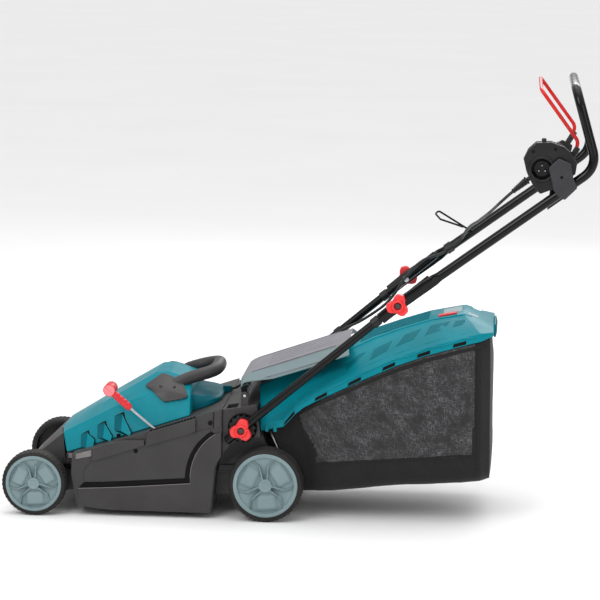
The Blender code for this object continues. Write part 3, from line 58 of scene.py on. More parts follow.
wheelbase, trackOuter = 0.500, 0.200
lowPivot, midPivot = (0.448, 0.200), (0.777, 0.478)
upperCorner, gripTop = (1.185, 0.777), (1.138, 0.938)
lowerAngle = atan2(midPivot[1] - lowPivot[1], midPivot[0] - lowPivot[0])
upperAngle = atan2(upperCorner[1] - midPivot[1], upperCorner[0] - midPivot[0])
lowerTubeY, upperTubeY = 0.184, 0.198
sides = (("left", -1), ("right", 1))


# small tools
def srgb(code):
    parts = [int(code[k:k + 2], 16) / 255 for k in (1, 3, 5)]
    return (*[c / 12.92 if c <= 0.04045 else ((c + 0.055) / 1.055) ** 2.4 for c in parts], 1)


def addNode(tree, kind, inputs=None, links=None, **settings):
    node = tree.nodes.new(kind)
    for name, value in settings.items():
        setattr(node, name, value)
    for name, value in (inputs or {}).items():
        node.inputs[name].default_value = value
    for name, source in (links or {}).items():
        tree.links.new(source, node.inputs[name])
    return node


def mix(a, b, t):
    return a + (b - a) * t


def ease(low, high, value):
    t = min(1.0, max(0.0, (value - low) / (high - low)))
    return t * t * (3 - 2 * t)


def away(start, angle, distance):
    return (start[0] + distance * cos(angle), start[1] + distance * sin(angle))


def settle(piece):
    bpy.context.view_layer.update()
    shaped = piece.evaluated_get(bpy.context.evaluated_depsgraph_get())
    finished = bpy.data.meshes.new_from_object(shaped)
    piece.modifiers.clear()
    piece.data = finished
    return piece


def addPiece(name, bm, finish, sharp=35, turnOut=True):
    bmesh.ops.remove_doubles(bm, verts=bm.verts, dist=2e-6)
    if turnOut:
        bmesh.ops.recalc_face_normals(bm, faces=bm.faces)
    bmesh.ops.translate(bm, verts=bm.verts, vec=home)
    mesh = bpy.data.meshes.new(name)
    bm.to_mesh(mesh)
    bm.free()
    piece = bpy.data.objects.new(name, mesh)
    bpy.context.collection.objects.link(piece)
    for one in (finish if isinstance(finish, (list, tuple)) else [finish]):
        mesh.materials.append(one)
    mesh.shade_smooth()
    mesh.set_sharp_from_angle(angle=radians(sharp))
    return piece


def traced(name, node, finish, weld=1e-5, flatten=1.5, sharp=35):
    bm = bmesh.new()
    bm.from_mesh(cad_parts[node].data)
    bmesh.ops.remove_doubles(bm, verts=bm.verts, dist=weld)
    bmesh.ops.dissolve_limit(bm, angle_limit=radians(flatten), verts=bm.verts, edges=bm.edges)
    for face in bm.faces:
        face.material_index = 0
    bmesh.ops.translate(bm, verts=bm.verts, vec=-home)
    return addPiece(name, bm, finish, sharp, turnOut=False)


def soften(piece, width, segments=2, angle=30):
    bevel = piece.modifiers.new("rounded edges", "BEVEL")
    bevel.width, bevel.segments = width, segments
    bevel.limit_method, bevel.angle_limit = "ANGLE", radians(angle)
    bevel.harden_normals, bevel.use_clamp_overlap = True, False
    bevel.miter_outer = "MITER_ARC" if segments > 1 else "MITER_SHARP"
    return settle(piece)


def fit(piece, body, slot, *nodes):
    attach(piece, body)
    if nodes:
        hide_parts(*nodes)
    return piece


def place(name, bm, finish, body, slot, *nodes, sharp=35):
    return fit(addPiece(name, bm, finish, sharp), body, slot, *nodes)


def skin(bm, rings, closed=False, caps=True, wrap=True):
    loops = [[bm.verts.new(p) for p in ring] for ring in rings]
    pairs = list(zip(loops, loops[1:])) + ([(loops[-1], loops[0])] if closed else [])
    for low, high in pairs:
        count = len(low)
        for k in range(count if wrap else count - 1):
            n = (k + 1) % count
            bm.faces.new((low[k], low[n], high[n], high[k]))
    if caps and not closed:
        bm.faces.new(loops[0][::-1])
        bm.faces.new(loops[-1])
    return loops


def slab(bm, outline, lowY, highY):
    skin(bm, [[(x, y, z) for x, z in outline] for y in (lowY, highY)])


def lathe(bm, profile, centre, axis, count):
    turn = Vector((0, 0, 1)).rotation_difference(Vector(axis)).to_matrix()
    rings = []
    for k in range(count):
        a = 2 * pi * k / count
        rings.append([Vector(centre) + turn @ Vector((r * cos(a), r * sin(a), h)) for r, h in profile])
    skin(bm, rings, closed=True)


def sweep(bm, path, radius, count=16, closed=False):
    points = [Vector(p) for p in path]
    radii = [(radius, radius)] * len(points) if isinstance(radius, (int, float)) else radius
    side, rings = None, []
    for k, point in enumerate(points):
        before = points[k - 1] if (k or closed) else point
        after = points[(k + 1) % len(points)] if (k + 1 < len(points) or closed) else point
        tangent = (after - before).normalized()
        if side is None:
            side = Vector((0, 1, 0)) if abs(tangent.y) < 0.9 else Vector((1, 0, 0))
        side = (side - tangent * side.dot(tangent)).normalized()
        up = tangent.cross(side)
        across, high = radii[k]
        rings.append([point + side * across * cos(2 * pi * n / count) + up * high * sin(2 * pi * n / count)
                      for n in range(count)])
    skin(bm, rings, closed)


def bent(corners, radius, steps=10):
    points = [Vector(c) for c in corners]
    path = [points[0]]
    for before, corner, after in zip(points, points[1:], points[2:]):
        wayIn, wayOut = (before - corner).normalized(), (after - corner).normalized()
        half = wayIn.angle(wayOut) / 2
        reach = min(radius / max(0.05, abs(sin(half) / cos(half))),
                    0.45 * (before - corner).length, 0.45 * (after - corner).length)
        start, end = corner + wayIn * reach, corner + wayOut * reach
        for k in range(steps + 1):
            t = k / steps
            path.append(start * (1 - t) ** 2 + corner * 2 * t * (1 - t) + end * t ** 2)
    return path + [points[-1]]


def flowing(points, spacing):
    pts = [Vector(p) for p in points]
    pts = [pts[0] * 2 - pts[1]] + pts + [pts[-1] * 2 - pts[-2]]
    path = []
    for a, b, c, d in zip(pts, pts[1:], pts[2:], pts[3:]):
        before, here, after = (b - a).length, (c - b).length, (d - c).length
        leave = ((b - a) * (here / before) + (c - b) * (before / here)) * (here / (before + here))
        arrive = ((c - b) * (after / here) + (d - c) * (here / after)) * (here / (here + after))
        steps = max(1, ceil(here / spacing))
        for k in range(steps):
            t = k / steps
            path.append(b * (2 * t ** 3 - 3 * t ** 2 + 1) + leave * (t ** 3 - 2 * t ** 2 + t)
                        + c * (3 * t ** 2 - 2 * t ** 3) + arrive * (t ** 3 - t ** 2))
    return path + [pts[-2]]


# finishes
def grained(name, look):
    finish = bpy.data.materials.new(name)
    finish.use_nodes = True
    tree = finish.node_tree
    shader = tree.nodes["Principled BSDF"]
    where = addNode(tree, "ShaderNodeTexCoord").outputs["Object"]
    patches = addNode(tree, "ShaderNodeTexNoise", {"Scale": 1000 / look.get("patch", 60), "Detail": 4.0,
                                                   "Roughness": 0.6}, {"Vector": where})
    spread = addNode(tree, "ShaderNodeMapRange", {"From Min": 0.32, "From Max": 0.68},
                     {"Value": patches.outputs["Fac"]})
    colour = addNode(tree, "ShaderNodeMix", {"A": srgb(look["colour"]), "B": srgb(look["shade"])},
                     {"Factor": spread.outputs["Result"]}, data_type="RGBA").outputs["Result"]
    grain = addNode(tree, "ShaderNodeTexNoise", {"Scale": 1000 / look.get("grain", 0.9), "Detail": 2.0},
                    {"Vector": where})
    if look.get("dust"):        # a little pale dust settles on what faces up
        up = addNode(tree, "ShaderNodeSeparateXYZ", None,
                     {"Vector": addNode(tree, "ShaderNodeNewGeometry").outputs["Normal"]}).outputs["Z"]
        facing = addNode(tree, "ShaderNodeMapRange",
                         {"From Min": 0.35, "From Max": 1.0, "To Max": look["dust"]}, {"Value": up})
        spots = addNode(tree, "ShaderNodeMath", None,
                        {0: facing.outputs["Result"], 1: patches.outputs["Fac"]}, operation="MULTIPLY")
        colour = addNode(tree, "ShaderNodeMix", {"B": srgb(look.get("dustColour", "#a8a29a"))},
                         {"Factor": spots.outputs[0], "A": colour}, data_type="RGBA").outputs["Result"]
    tree.links.new(colour, shader.inputs["Base Color"])
    smudge = addNode(tree, "ShaderNodeMapRange",
                     {"From Min": 0.3, "From Max": 0.7, "To Min": look["rough"] - look.get("smudge", 0.05),
                      "To Max": look["rough"] + look.get("smudge", 0.05)}, {"Value": patches.outputs["Fac"]})
    tree.links.new(smudge.outputs["Result"], shader.inputs["Roughness"])
    height = grain.outputs["Fac"]
    if look.get("brush"):       # drawn or ground metal has long fine lines
        stretched = addNode(tree, "ShaderNodeMapping", {"Scale": look["brush"]}, {"Vector": where})
        height = addNode(tree, "ShaderNodeTexNoise", {"Scale": 1.0, "Detail": 3.0},
                         {"Vector": stretched.outputs["Vector"]}).outputs["Fac"]
    bump = addNode(tree, "ShaderNodeBump", {"Strength": look.get("bump", 0.3),
                                            "Distance": look.get("depth", 0.1) / 1000}, {"Height": height})
    tree.links.new(bump.outputs["Normal"], shader.inputs["Normal"])
    for socket in ("Metallic", "IOR", "Coat Weight", "Coat Roughness", "Subsurface Weight", "Sheen Weight"):
        if socket in look:
            shader.inputs[socket].default_value = look[socket]
    shader.inputs["Specular IOR Level"].default_value = look.get("gloss", 0.5)
    if look.get("Subsurface Weight"):
        shader.inputs["Subsurface Scale"].default_value = 0.003
    return finish


# ABS hood and lid: glossy injection moulding, faint flow marks, hardly any grain
hoodAbs = grained("tealAbsMoulded", {"colour": "#018391", "shade": "#017a88", "patch": 70, "rough": 0.33,
                                     "gloss": 0.1, "grain": 1.6, "depth": 0.05, "bump": 0.2, "IOR": 1.54,
                                     "dust": 0.02})
hoodAbsMid = grained("tealAbsField", {"colour": "#01707c", "shade": "#016874", "patch": 40, "rough": 0.38,
                                      "gloss": 0.1, "grain": 1.4, "depth": 0.05, "bump": 0.2, "IOR": 1.54})
# darker teal, used on the hood's tail and the scoops' front facets: painted shade
hoodAbsDark = grained("tealAbsShaded", {"colour": "#02606d", "shade": "#015663", "patch": 40, "rough": 0.40,
                                        "gloss": 0.1, "grain": 1.4, "depth": 0.05, "bump": 0.2, "IOR": 1.54})
# polypropylene deck: spark-eroded mould texture, satin, catches pale dust; grain drawn coarser than real
deckPp = grained("charcoalPpTextured", {"colour": "#363435", "shade": "#2e2c2d", "patch": 90, "rough": 0.44,
                                        "gloss": 0.42, "grain": 1.3, "depth": 0.16, "bump": 0.45, "IOR": 1.49,
                                        "dust": 0.08})
# near-black: painted shade in the deck channel, drain holes, screw wells, scoop openings and slots; also the
# colour of dark screws, teeth and seams
nearBlackPpAndPaintedShade = grained("charcoalPpAndPaintedShade", {"colour": "#0f0f0f", "shade": "#0b0b0b", "patch": 50, "rough": 0.7,
                                          "gloss": 0.15, "grain": 1.3, "depth": 0.16, "bump": 0.4,
                                          "IOR": 1.49})
# pale grey: painted highlight along the deck's side edge; also the pale strip at the nose corner
paleGreyPpAndPaintedHighlight = grained("greyPpAndPaintedHighlight", {"colour": "#7d7777", "shade": "#6d6868", "patch": 40, "rough": 0.5,
                                "grain": 1.2, "depth": 0.12, "bump": 0.35, "IOR": 1.49})
hubPp = grained("greyGreenPpHub", {"colour": "#7b8f92", "shade": "#73888b", "patch": 45, "rough": 0.46,
                                   "grain": 1.1, "depth": 0.08, "bump": 0.3, "IOR": 1.49, "dust": 0.05})
flapPp = grained("greyPpFlap", {"colour": "#807f86", "shade": "#77767d", "patch": 60, "rough": 0.52,
                                "grain": 1.2, "depth": 0.14, "bump": 0.45, "IOR": 1.49})
flapSidePp = grained("greyGreenPpFlapSide", {"colour": "#6e8184", "shade": "#667a7d", "patch": 60,
                                             "rough": 0.5, "grain": 1.2, "depth": 0.12, "bump": 0.4,
                                             "IOR": 1.49})
tyrePvc = grained("blackPvcTyre", {"colour": "#1c1a1b", "shade": "#252322", "patch": 22, "rough": 0.62,
                                   "gloss": 0.3, "grain": 1.0, "depth": 0.15, "bump": 0.4, "IOR": 1.52,
                                   "dust": 0.07})
knobPa = grained("redNylonMoulded", {"colour": "#e93033", "shade": "#e0282b", "patch": 18, "rough": 0.30,
                                     "grain": 1.2, "depth": 0.05, "bump": 0.2, "IOR": 1.53,
                                     "Subsurface Weight": 0.12})
leverPa = grained("redNylonLever", {"colour": "#d81c25", "shade": "#cc161f", "patch": 18, "rough": 0.33,
                                    "grain": 1.2, "depth": 0.05, "bump": 0.2, "IOR": 1.53})
leverFacePa = grained("redNylonPaleFace", {"colour": "#fb858b", "shade": "#f77a81", "patch": 12, "rough": 0.4,
                                           "grain": 1.2, "depth": 0.05, "bump": 0.25, "IOR": 1.53})
# black nylon; also painted shade on the wheel hubs' inner faces
blackNylonAndPaintedShade = grained("blackNylonTexturedAndPaintedShade", {"colour": "#161617", "shade": "#111112", "patch": 30, "rough": 0.40,
                                          "gloss": 0.32, "grain": 1.0, "depth": 0.12, "bump": 0.4,
                                          "IOR": 1.53, "dust": 0.05})
coverPp = grained("darkGreyPpCover", {"colour": "#38383b", "shade": "#303033", "patch": 30, "rough": 0.5,
                                      "gloss": 0.3, "grain": 1.1, "depth": 0.12, "bump": 0.4, "IOR": 1.49,
                                      "dust": 0.06})
tubePaint = grained("blackPowderCoat", {"colour": "#050506", "shade": "#09090a", "patch": 35, "rough": 0.13,
                                        "gloss": 0.20, "smudge": 0.03, "grain": 1.8, "depth": 0.03,
                                        "bump": 0.12, "IOR": 1.5, "Coat Weight": 0.12})
bailPaint = grained("redPowderCoat", {"colour": "#d0110c", "shade": "#c20c08", "patch": 30, "rough": 0.26,
                                      "gloss": 0.35, "grain": 1.5, "depth": 0.04, "bump": 0.15, "IOR": 1.5,
                                      "Coat Weight": 0.1})
zincSteel = grained("zincPlatedSteel", {"colour": "#c9cacc", "shade": "#aeb0b4", "patch": 14, "rough": 0.27,
                                        "brush": (300, 300, 1800), "depth": 0.03, "bump": 0.3,
                                        "Metallic": 1.0})
darkSteel = grained("phosphatedSteel", {"colour": "#5a5856", "shade": "#474542", "patch": 10, "rough": 0.42,
                                        "grain": 0.8, "depth": 0.05, "bump": 0.3, "Metallic": 1.0})
bladeSteel = grained("groundBladeSteel", {"colour": "#77777a", "shade": "#5f5f63", "patch": 24, "rough": 0.38,
                                          "brush": (1500, 120, 120), "depth": 0.06, "bump": 0.35,
                                          "Metallic": 1.0})
castAluminium = grained("castAluminium", {"colour": "#a9aaad", "shade": "#95969a", "patch": 20, "rough": 0.5,
                                          "grain": 0.9, "depth": 0.15, "bump": 0.45, "Metallic": 1.0})
cablePvc = grained("blackPvcCable", {"colour": "#111112", "shade": "#19191a", "patch": 16, "rough": 0.48,
                                     "grain": 1.0, "depth": 0.06, "bump": 0.25, "IOR": 1.52})
labelFilm = grained("greyLabelFilm", {"colour": "#8fa3a8", "shade": "#879ba0", "patch": 12, "rough": 0.35,
                                      "grain": 1.2, "depth": 0.03, "bump": 0.15, "IOR": 1.5})
tapeWeb = grained("blackPolyesterTape", {"colour": "#0e0d0d", "shade": "#151414", "patch": 10, "rough": 0.85,
                                         "grain": 0.9, "depth": 0.25, "bump": 0.6, "IOR": 1.5})


def woven(name, look):
    finish = bpy.data.materials.new(name)
    finish.use_nodes = True
    tree = finish.node_tree
    shader = tree.nodes["Principled BSDF"]
    onCloth = addNode(tree, "ShaderNodeUVMap", uv_map="cloth").outputs["UV"]     # metres on the cloth
    jitter = addNode(tree, "ShaderNodeTexNoise", {"Scale": 60.0, "Detail": 3.0}, {"Vector": onCloth})
    pushed = addNode(tree, "ShaderNodeVectorMath", {1: (0.004, 0.004, 0.0)}, {0: jitter.outputs["Color"]},
                     operation="MULTIPLY")
    uneven = addNode(tree, "ShaderNodeVectorMath", None, {0: onCloth, 1: pushed.outputs["Vector"]},
                     operation="ADD")
    waves = []
    for direction in ("X", "Y"):
        waves.append(addNode(tree, "ShaderNodeTexWave", {"Scale": 1000 / look["thread"] / 3.14159,
                                                         "Distortion": look["slub"], "Detail": 2.0,
                                                         "Detail Scale": 1.5},
                             {"Vector": uneven.outputs["Vector"]}, bands_direction=direction).outputs["Fac"])
    crossing = addNode(tree, "ShaderNodeMath", None, {0: waves[0], 1: waves[1]}, operation="MULTIPLY")
    mottle = addNode(tree, "ShaderNodeTexNoise", {"Scale": 1000 / look["mottle"], "Detail": 6.0,
                                                  "Roughness": 0.7}, {"Vector": onCloth})
    streaks = []
    for along in ((1.0, 0.16, 1.0), (0.16, 1.0, 1.0)):      # painted highlight: short streaks where slack threads catch light
        drawn = addNode(tree, "ShaderNodeMapping", {"Scale": along}, {"Vector": uneven.outputs["Vector"]})
        streaks.append(addNode(tree, "ShaderNodeTexNoise", {"Scale": 520.0, "Detail": 3.0, "Roughness": 0.75},
                               {"Vector": drawn.outputs["Vector"]}).outputs["Fac"])
    flecks = addNode(tree, "ShaderNodeMath", None, {0: streaks[0], 1: streaks[1]}, operation="MAXIMUM")
    patchy = addNode(tree, "ShaderNodeMapRange", {"From Min": 0.38, "From Max": 0.66},
                     {"Value": mottle.outputs["Fac"]})
    speck = addNode(tree, "ShaderNodeMapRange", {"From Min": 0.50, "From Max": 0.74},
                    {"Value": flecks.outputs[0]})
    open1 = addNode(tree, "ShaderNodeMath", None, {0: patchy.outputs["Result"], 1: speck.outputs["Result"]},
                    operation="MULTIPLY")
    open2 = addNode(tree, "ShaderNodeMath", {1: look["open"]}, {0: crossing.outputs[0]}, operation="MULTIPLY")
    light = addNode(tree, "ShaderNodeMath", None, {0: open1.outputs[0], 1: open2.outputs[0]}, operation="ADD",
                    use_clamp=True)
    colour = addNode(tree, "ShaderNodeMix", {"A": srgb(look["colour"]), "B": srgb(look["light"])},
                     {"Factor": light.outputs[0]}, data_type="RGBA")
    tree.links.new(colour.outputs["Result"], shader.inputs["Base Color"])
    shader.inputs["Roughness"].default_value = look["rough"]
    shader.inputs["Sheen Weight"].default_value = 0.10
    shader.inputs["Specular IOR Level"].default_value = 0.2
    bump = addNode(tree, "ShaderNodeBump", {"Strength": 0.6, "Distance": look["depth"] / 1000},
                   {"Height": crossing.outputs[0]})
    tree.links.new(bump.outputs["Normal"], shader.inputs["Normal"])
    return finish


# open polyester mesh: daylight through the threads is painted into its colour as pale mottled flecks; threads
# drawn 2.4 mm apart
bagMesh = woven("polyesterMeshOpen", {"colour": "#222121", "light": "#868589", "thread": 2.4, "slub": 2.0,
                                      "mottle": 38, "open": 0.26, "rough": 0.85, "depth": 0.5})
# coated polyester: tight plain weave, nearly black, with faint painted highlight flecks
bagCoated = woven("polyesterCoatedPlain", {"colour": "#1b1a1a", "light": "#2c2a2b", "thread": 1.8,
                                           "slub": 0.6, "mottle": 60, "open": 0.10, "rough": 0.72,
                                           "depth": 0.25})
print("finishes ready")


# repeats along a path
def repeatTree():
    tree = bpy.data.node_groups.new("repeat along a path", "GeometryNodeTree")
    for label, kind, way in (("Path", "NodeSocketGeometry", "INPUT"), ("Spacing", "NodeSocketFloat", "INPUT"),
                             ("Length", "NodeSocketFloat", "INPUT"), ("Width", "NodeSocketFloat", "INPUT"),
                             ("Height", "NodeSocketFloat", "INPUT"), ("Lean", "NodeSocketFloat", "INPUT"),
                             ("Centre", "NodeSocketVector", "INPUT"),
                             ("Finish", "NodeSocketMaterial", "INPUT"),
                             ("Repeats", "NodeSocketGeometry", "OUTPUT")):
        tree.interface.new_socket(label, in_out=way, socket_type=kind)
    given = addNode(tree, "NodeGroupInput").outputs
    curve = addNode(tree, "GeometryNodeMeshToCurve", None, {"Mesh": given["Path"]})
    spots = addNode(tree, "GeometryNodeResampleCurve", None,
                    {"Curve": curve.outputs["Curve"], "Length": given["Spacing"]}, mode="LENGTH")
    size = addNode(tree, "ShaderNodeCombineXYZ", None,
                   {"X": given["Length"], "Y": given["Width"], "Z": given["Height"]})
    block = addNode(tree, "GeometryNodeMeshCube", {"Vertices X": 3, "Vertices Y": 3, "Vertices Z": 3},
                    {"Size": size.outputs["Vector"]})
    rounder = addNode(tree, "GeometryNodeSubdivisionSurface", {"Level": 1}, {"Mesh": block.outputs["Mesh"]})
    tangent = addNode(tree, "GeometryNodeInputTangent")
    alongPath = addNode(tree, "FunctionNodeAlignRotationToVector", None, {"Vector": tangent.outputs[0]},
                        axis="X")
    here = addNode(tree, "GeometryNodeInputPosition")
    outward = addNode(tree, "ShaderNodeVectorMath", None, {0: here.outputs[0], 1: given["Centre"]},
                      operation="SUBTRACT")
    upright = addNode(tree, "FunctionNodeAlignRotationToVector", None,
                      {"Rotation": alongPath.outputs[0], "Vector": outward.outputs["Vector"]},
                      axis="Z", pivot_axis="X")
    leanBy = addNode(tree, "ShaderNodeCombineXYZ", None, {"Z": given["Lean"]})
    leaning = addNode(tree, "FunctionNodeEulerToRotation", None, {"Euler": leanBy.outputs["Vector"]})
    turned = addNode(tree, "FunctionNodeRotateRotation", None,
                     {"Rotation": upright.outputs[0], "Rotate By": leaning.outputs[0]},
                     rotation_space="LOCAL")
    placed = addNode(tree, "GeometryNodeInstanceOnPoints", None,
                     {"Points": spots.outputs["Curve"], "Instance": rounder.outputs["Mesh"],
                      "Rotation": turned.outputs[0]})
    solid = addNode(tree, "GeometryNodeRealizeInstances", None, {"Geometry": placed.outputs["Instances"]})
    painted = addNode(tree, "GeometryNodeSetMaterial", None,
                      {"Geometry": solid.outputs["Geometry"], "Material": given["Finish"]})
    addNode(tree, "NodeGroupOutput", None, {"Repeats": painted.outputs["Geometry"]})
    return tree


repeats = repeatTree()


def repeated(name, paths, look, finish, closed=False):
    bm = bmesh.new()
    for path in paths:
        spots = [bm.verts.new(Vector(p) + home) for p in path]
        for a, b in zip(spots, spots[1:] + ([spots[0]] if closed else [])):
            bm.edges.new((a, b))
    mesh = bpy.data.meshes.new(name)
    bm.to_mesh(mesh)
    bm.free()
    piece = bpy.data.objects.new(name, mesh)
    bpy.context.collection.objects.link(piece)
    row = piece.modifiers.new("repeats", "NODES")
    row.node_group = repeats
    values = {"Spacing": look["spacing"], "Length": look["length"], "Width": look["width"],
              "Height": look["height"], "Lean": look.get("lean", 0.0),
              "Centre": Vector(look["centre"]) + home, "Finish": finish}
    for item in repeats.interface.items_tree:
        if item.in_out == "INPUT" and item.name in values:
            row[item.identifier] = values[item.name]
    settle(piece)
    piece.data.shade_smooth()
    return piece


# deck
deckLook = {"edge": 0.0012, "panel": 0.0026, "skirt": 0.0036, "rail": 0.0085, "rack": 0.0012}


def ledge(x):
    return min(0.250, 0.127 + 0.3345 * (x - 0.062))


def makeDeck():
    deck = soften(traced("deckShell", "deck_shell", deckPp), deckLook["edge"], 1)
    fit(deck, "chassis", "deck_plastic", "deck_shell")
    upper = [(0.107, 0.073), (0.146, 0.0745), (0.210, 0.079), (0.3255, 0.088), (0.327, 0.106), (0.331, 0.123),
             (0.3365, 0.139), (0.3445, 0.1545), (0.3535, 0.167), (0.364, 0.1775), (0.372, 0.185),
             (0.3813, 0.1915), (0.380, 0.1975), (0.276, 0.1717), (0.218, 0.1525), (0.1226, 0.1197),
             (0.107, 0.097)]
    skirt = [(0.094, 0.0205), (0.116, 0.0180), (0.140, 0.0150), (0.185, 0.0130), (0.381, 0.0130),
             (0.3905, 0.113), (0.3965, 0.1265), (0.4035, 0.1385), (0.4035, 0.1915), (0.391, 0.1860),
             (0.381, 0.1800), (0.372, 0.172), (0.363, 0.1625), (0.3555, 0.152), (0.348, 0.139),
             (0.342, 0.123), (0.3385, 0.109), (0.337, 0.095), (0.337, 0.0765), (0.210, 0.066),
             (0.146, 0.0615), (0.094, 0.059)]
    railFront = [(0.1254, 0.1200), (0.1875, 0.1405), (0.2385, 0.1580), (0.2385, 0.1690), (0.190, 0.1672),
                 (0.153, 0.1575), (0.1254, 0.1482)]
    railBack = [(0.2405, 0.1560), (0.3484, 0.1905), (0.3484, 0.2205), (0.2453, 0.1865)]
    chip = [(0.385, 0.1960), (0.4035, 0.2015), (0.4035, 0.2380), (0.387, 0.2330)]
    channel = upper[:12] + skirt[9:]
    edge = [(0.094, 0.059), (0.146, 0.0615), (0.210, 0.066), (0.337, 0.0765), (0.337, 0.095), (0.3385, 0.109),
            (0.342, 0.123), (0.348, 0.139), (0.3555, 0.152), (0.363, 0.1625), (0.372, 0.172), (0.381, 0.180),
            (0.391, 0.186)]
    for side, s in sides:
        bm = bmesh.new()
        # near-black strip in the channel between panel and skirt: painted shade of the recess
        slab(bm, channel, s * 0.1780, s * 0.1805)
        place(f"deckChannelShade{side.title()}", bm, nearBlackPpAndPaintedShade, "chassis", "deck_plastic")
        bm = bmesh.new()            # painted highlight: a pale line along the edge beside the channel
        sweep(bm, [(x, s * 0.1830, z) for x, z in edge], 0.00075, 8)
        place(f"deckEdgeHighlight{side.title()}", bm, paleGreyPpAndPaintedHighlight, "chassis", "deck_plastic")
        bm = bmesh.new()
        for outline, thick in ((upper, deckLook["panel"]), (skirt, deckLook["skirt"]),
                               (railFront, deckLook["rail"]), (railBack, deckLook["rail"]),
                               (chip, deckLook["rack"])):
            slab(bm, outline, s * 0.1785, s * (0.180 + thick))
        panels = soften(addPiece(f"deckSidePanels{side.title()}", bm, deckPp), 0.0011, 2)
        fit(panels, "chassis", "deck_plastic")
        bm = bmesh.new()            # toothed strip on the rear rail, screws and vent slots, all near-black; the vent slot's dark is painted shade
        for k in range(15):
            x = 0.2500 + 0.0066 * k
            z = ledge(x) + 0.0006
            slab(bm, [(x, z - 0.003), (x + 0.0042, z - 0.0016), (x + 0.0042, z + 0.0014), (x, z)],
                 s * 0.1740, s * 0.1835)
        for x, z in ((0.2191, 0.1445), (0.3793, 0.2098)):
            lathe(bm, [(0, 0.0), (0.0042, 0.0), (0.0048, 0.0006), (0.0048, 0.0040), (0, 0.0040)],
                  (x, s * 0.1795, z), (0, s, 0), 20)
        slab(bm, [(0.385, 0.1985), (0.3868, 0.1992), (0.3880, 0.2338), (0.3862, 0.2333)], s * 0.1790,
             s * 0.1818)
        teeth = addPiece(f"deckSmallDetails{side.title()}", bm, nearBlackPpAndPaintedShade)
        fit(teeth, "chassis", "deck_plastic")
        bm = bmesh.new()            # pale strip that turns the corner from the nose to the rail
        strip = ((0.0670, 0.1440, 0.1170, 0.1270), (0.0780, 0.1610, 0.1195, 0.1305),
                 (0.0895, 0.1822, 0.1225, 0.1345), (0.0950, 0.1826, 0.1240, 0.1358),
                 (0.1235, 0.1826, 0.1300, 0.1440))
        skin(bm, [[(x, s * (y - 0.0022), low), (x, s * y, low), (x, s * y, high), (x, s * (y - 0.0022), high)]
                  for x, y, low, high in strip])
        strip = soften(addPiece(f"railStrip{side.title()}", bm, paleGreyPpAndPaintedHighlight), 0.0006, 2)
        fit(strip, "chassis", "deck_plastic")
    nose = soften(traced("nosePanel", "nose_panel", deckPp), 0.0022, 3, 15)
    fit(nose, "chassis", "deck_plastic", "nose_panel")


makeDeck()
print("deck done")

# motor hood
hoodLook = {"edge": 0.0034, "louvre": 0.0125, "steps": 6}
hoodStations = [(0.0624, 0.040, 0.140, 0.168, 0.115, 0.168, 0.060),
                (0.165, 0.160, 0.148, 0.226, 0.118, 0.243, 0.060),
                (0.250, 0.248, 0.150, 0.262, 0.122, 0.296, 0.060),
                (0.276, 0.276, 0.150, 0.266, 0.122, 0.298, 0.060),
                (0.332, 0.326, 0.148, 0.258, 0.118, 0.282, 0.060)]


def hoodSide(x, z):
    for low, high in zip(hoodStations, hoodStations[1:]):
        if x <= high[0]:
            break
    t = (x - low[0]) / (high[0] - low[0])
    half, crease, creaseHalf = (mix(low[k], high[k], t) for k in (2, 3, 4))
    foot = ledge(x)
    return mix(half, creaseHalf, max(0.0, min(1.0, (z - foot) / max(0.02, crease - foot))))


def hoodSkin(x, z):
    for low, high in zip(hoodStations, hoodStations[1:]):
        if x <= high[1]:
            break
    t = (x - low[1]) / (high[1] - low[1])
    crease, creaseHalf, top, topHalf = (mix(a, b, t) for a, b in zip(low[3:], high[3:]))
    if z <= crease:
        return hoodSide(x, z), (0.97, 0.24)
    share = (z - crease) / (top - crease)
    turn = ease(0.0, 0.12, share)
    return mix(creaseHalf, topHalf, share), (mix(0.97, 0.46, turn), mix(0.24, 0.89, turn))


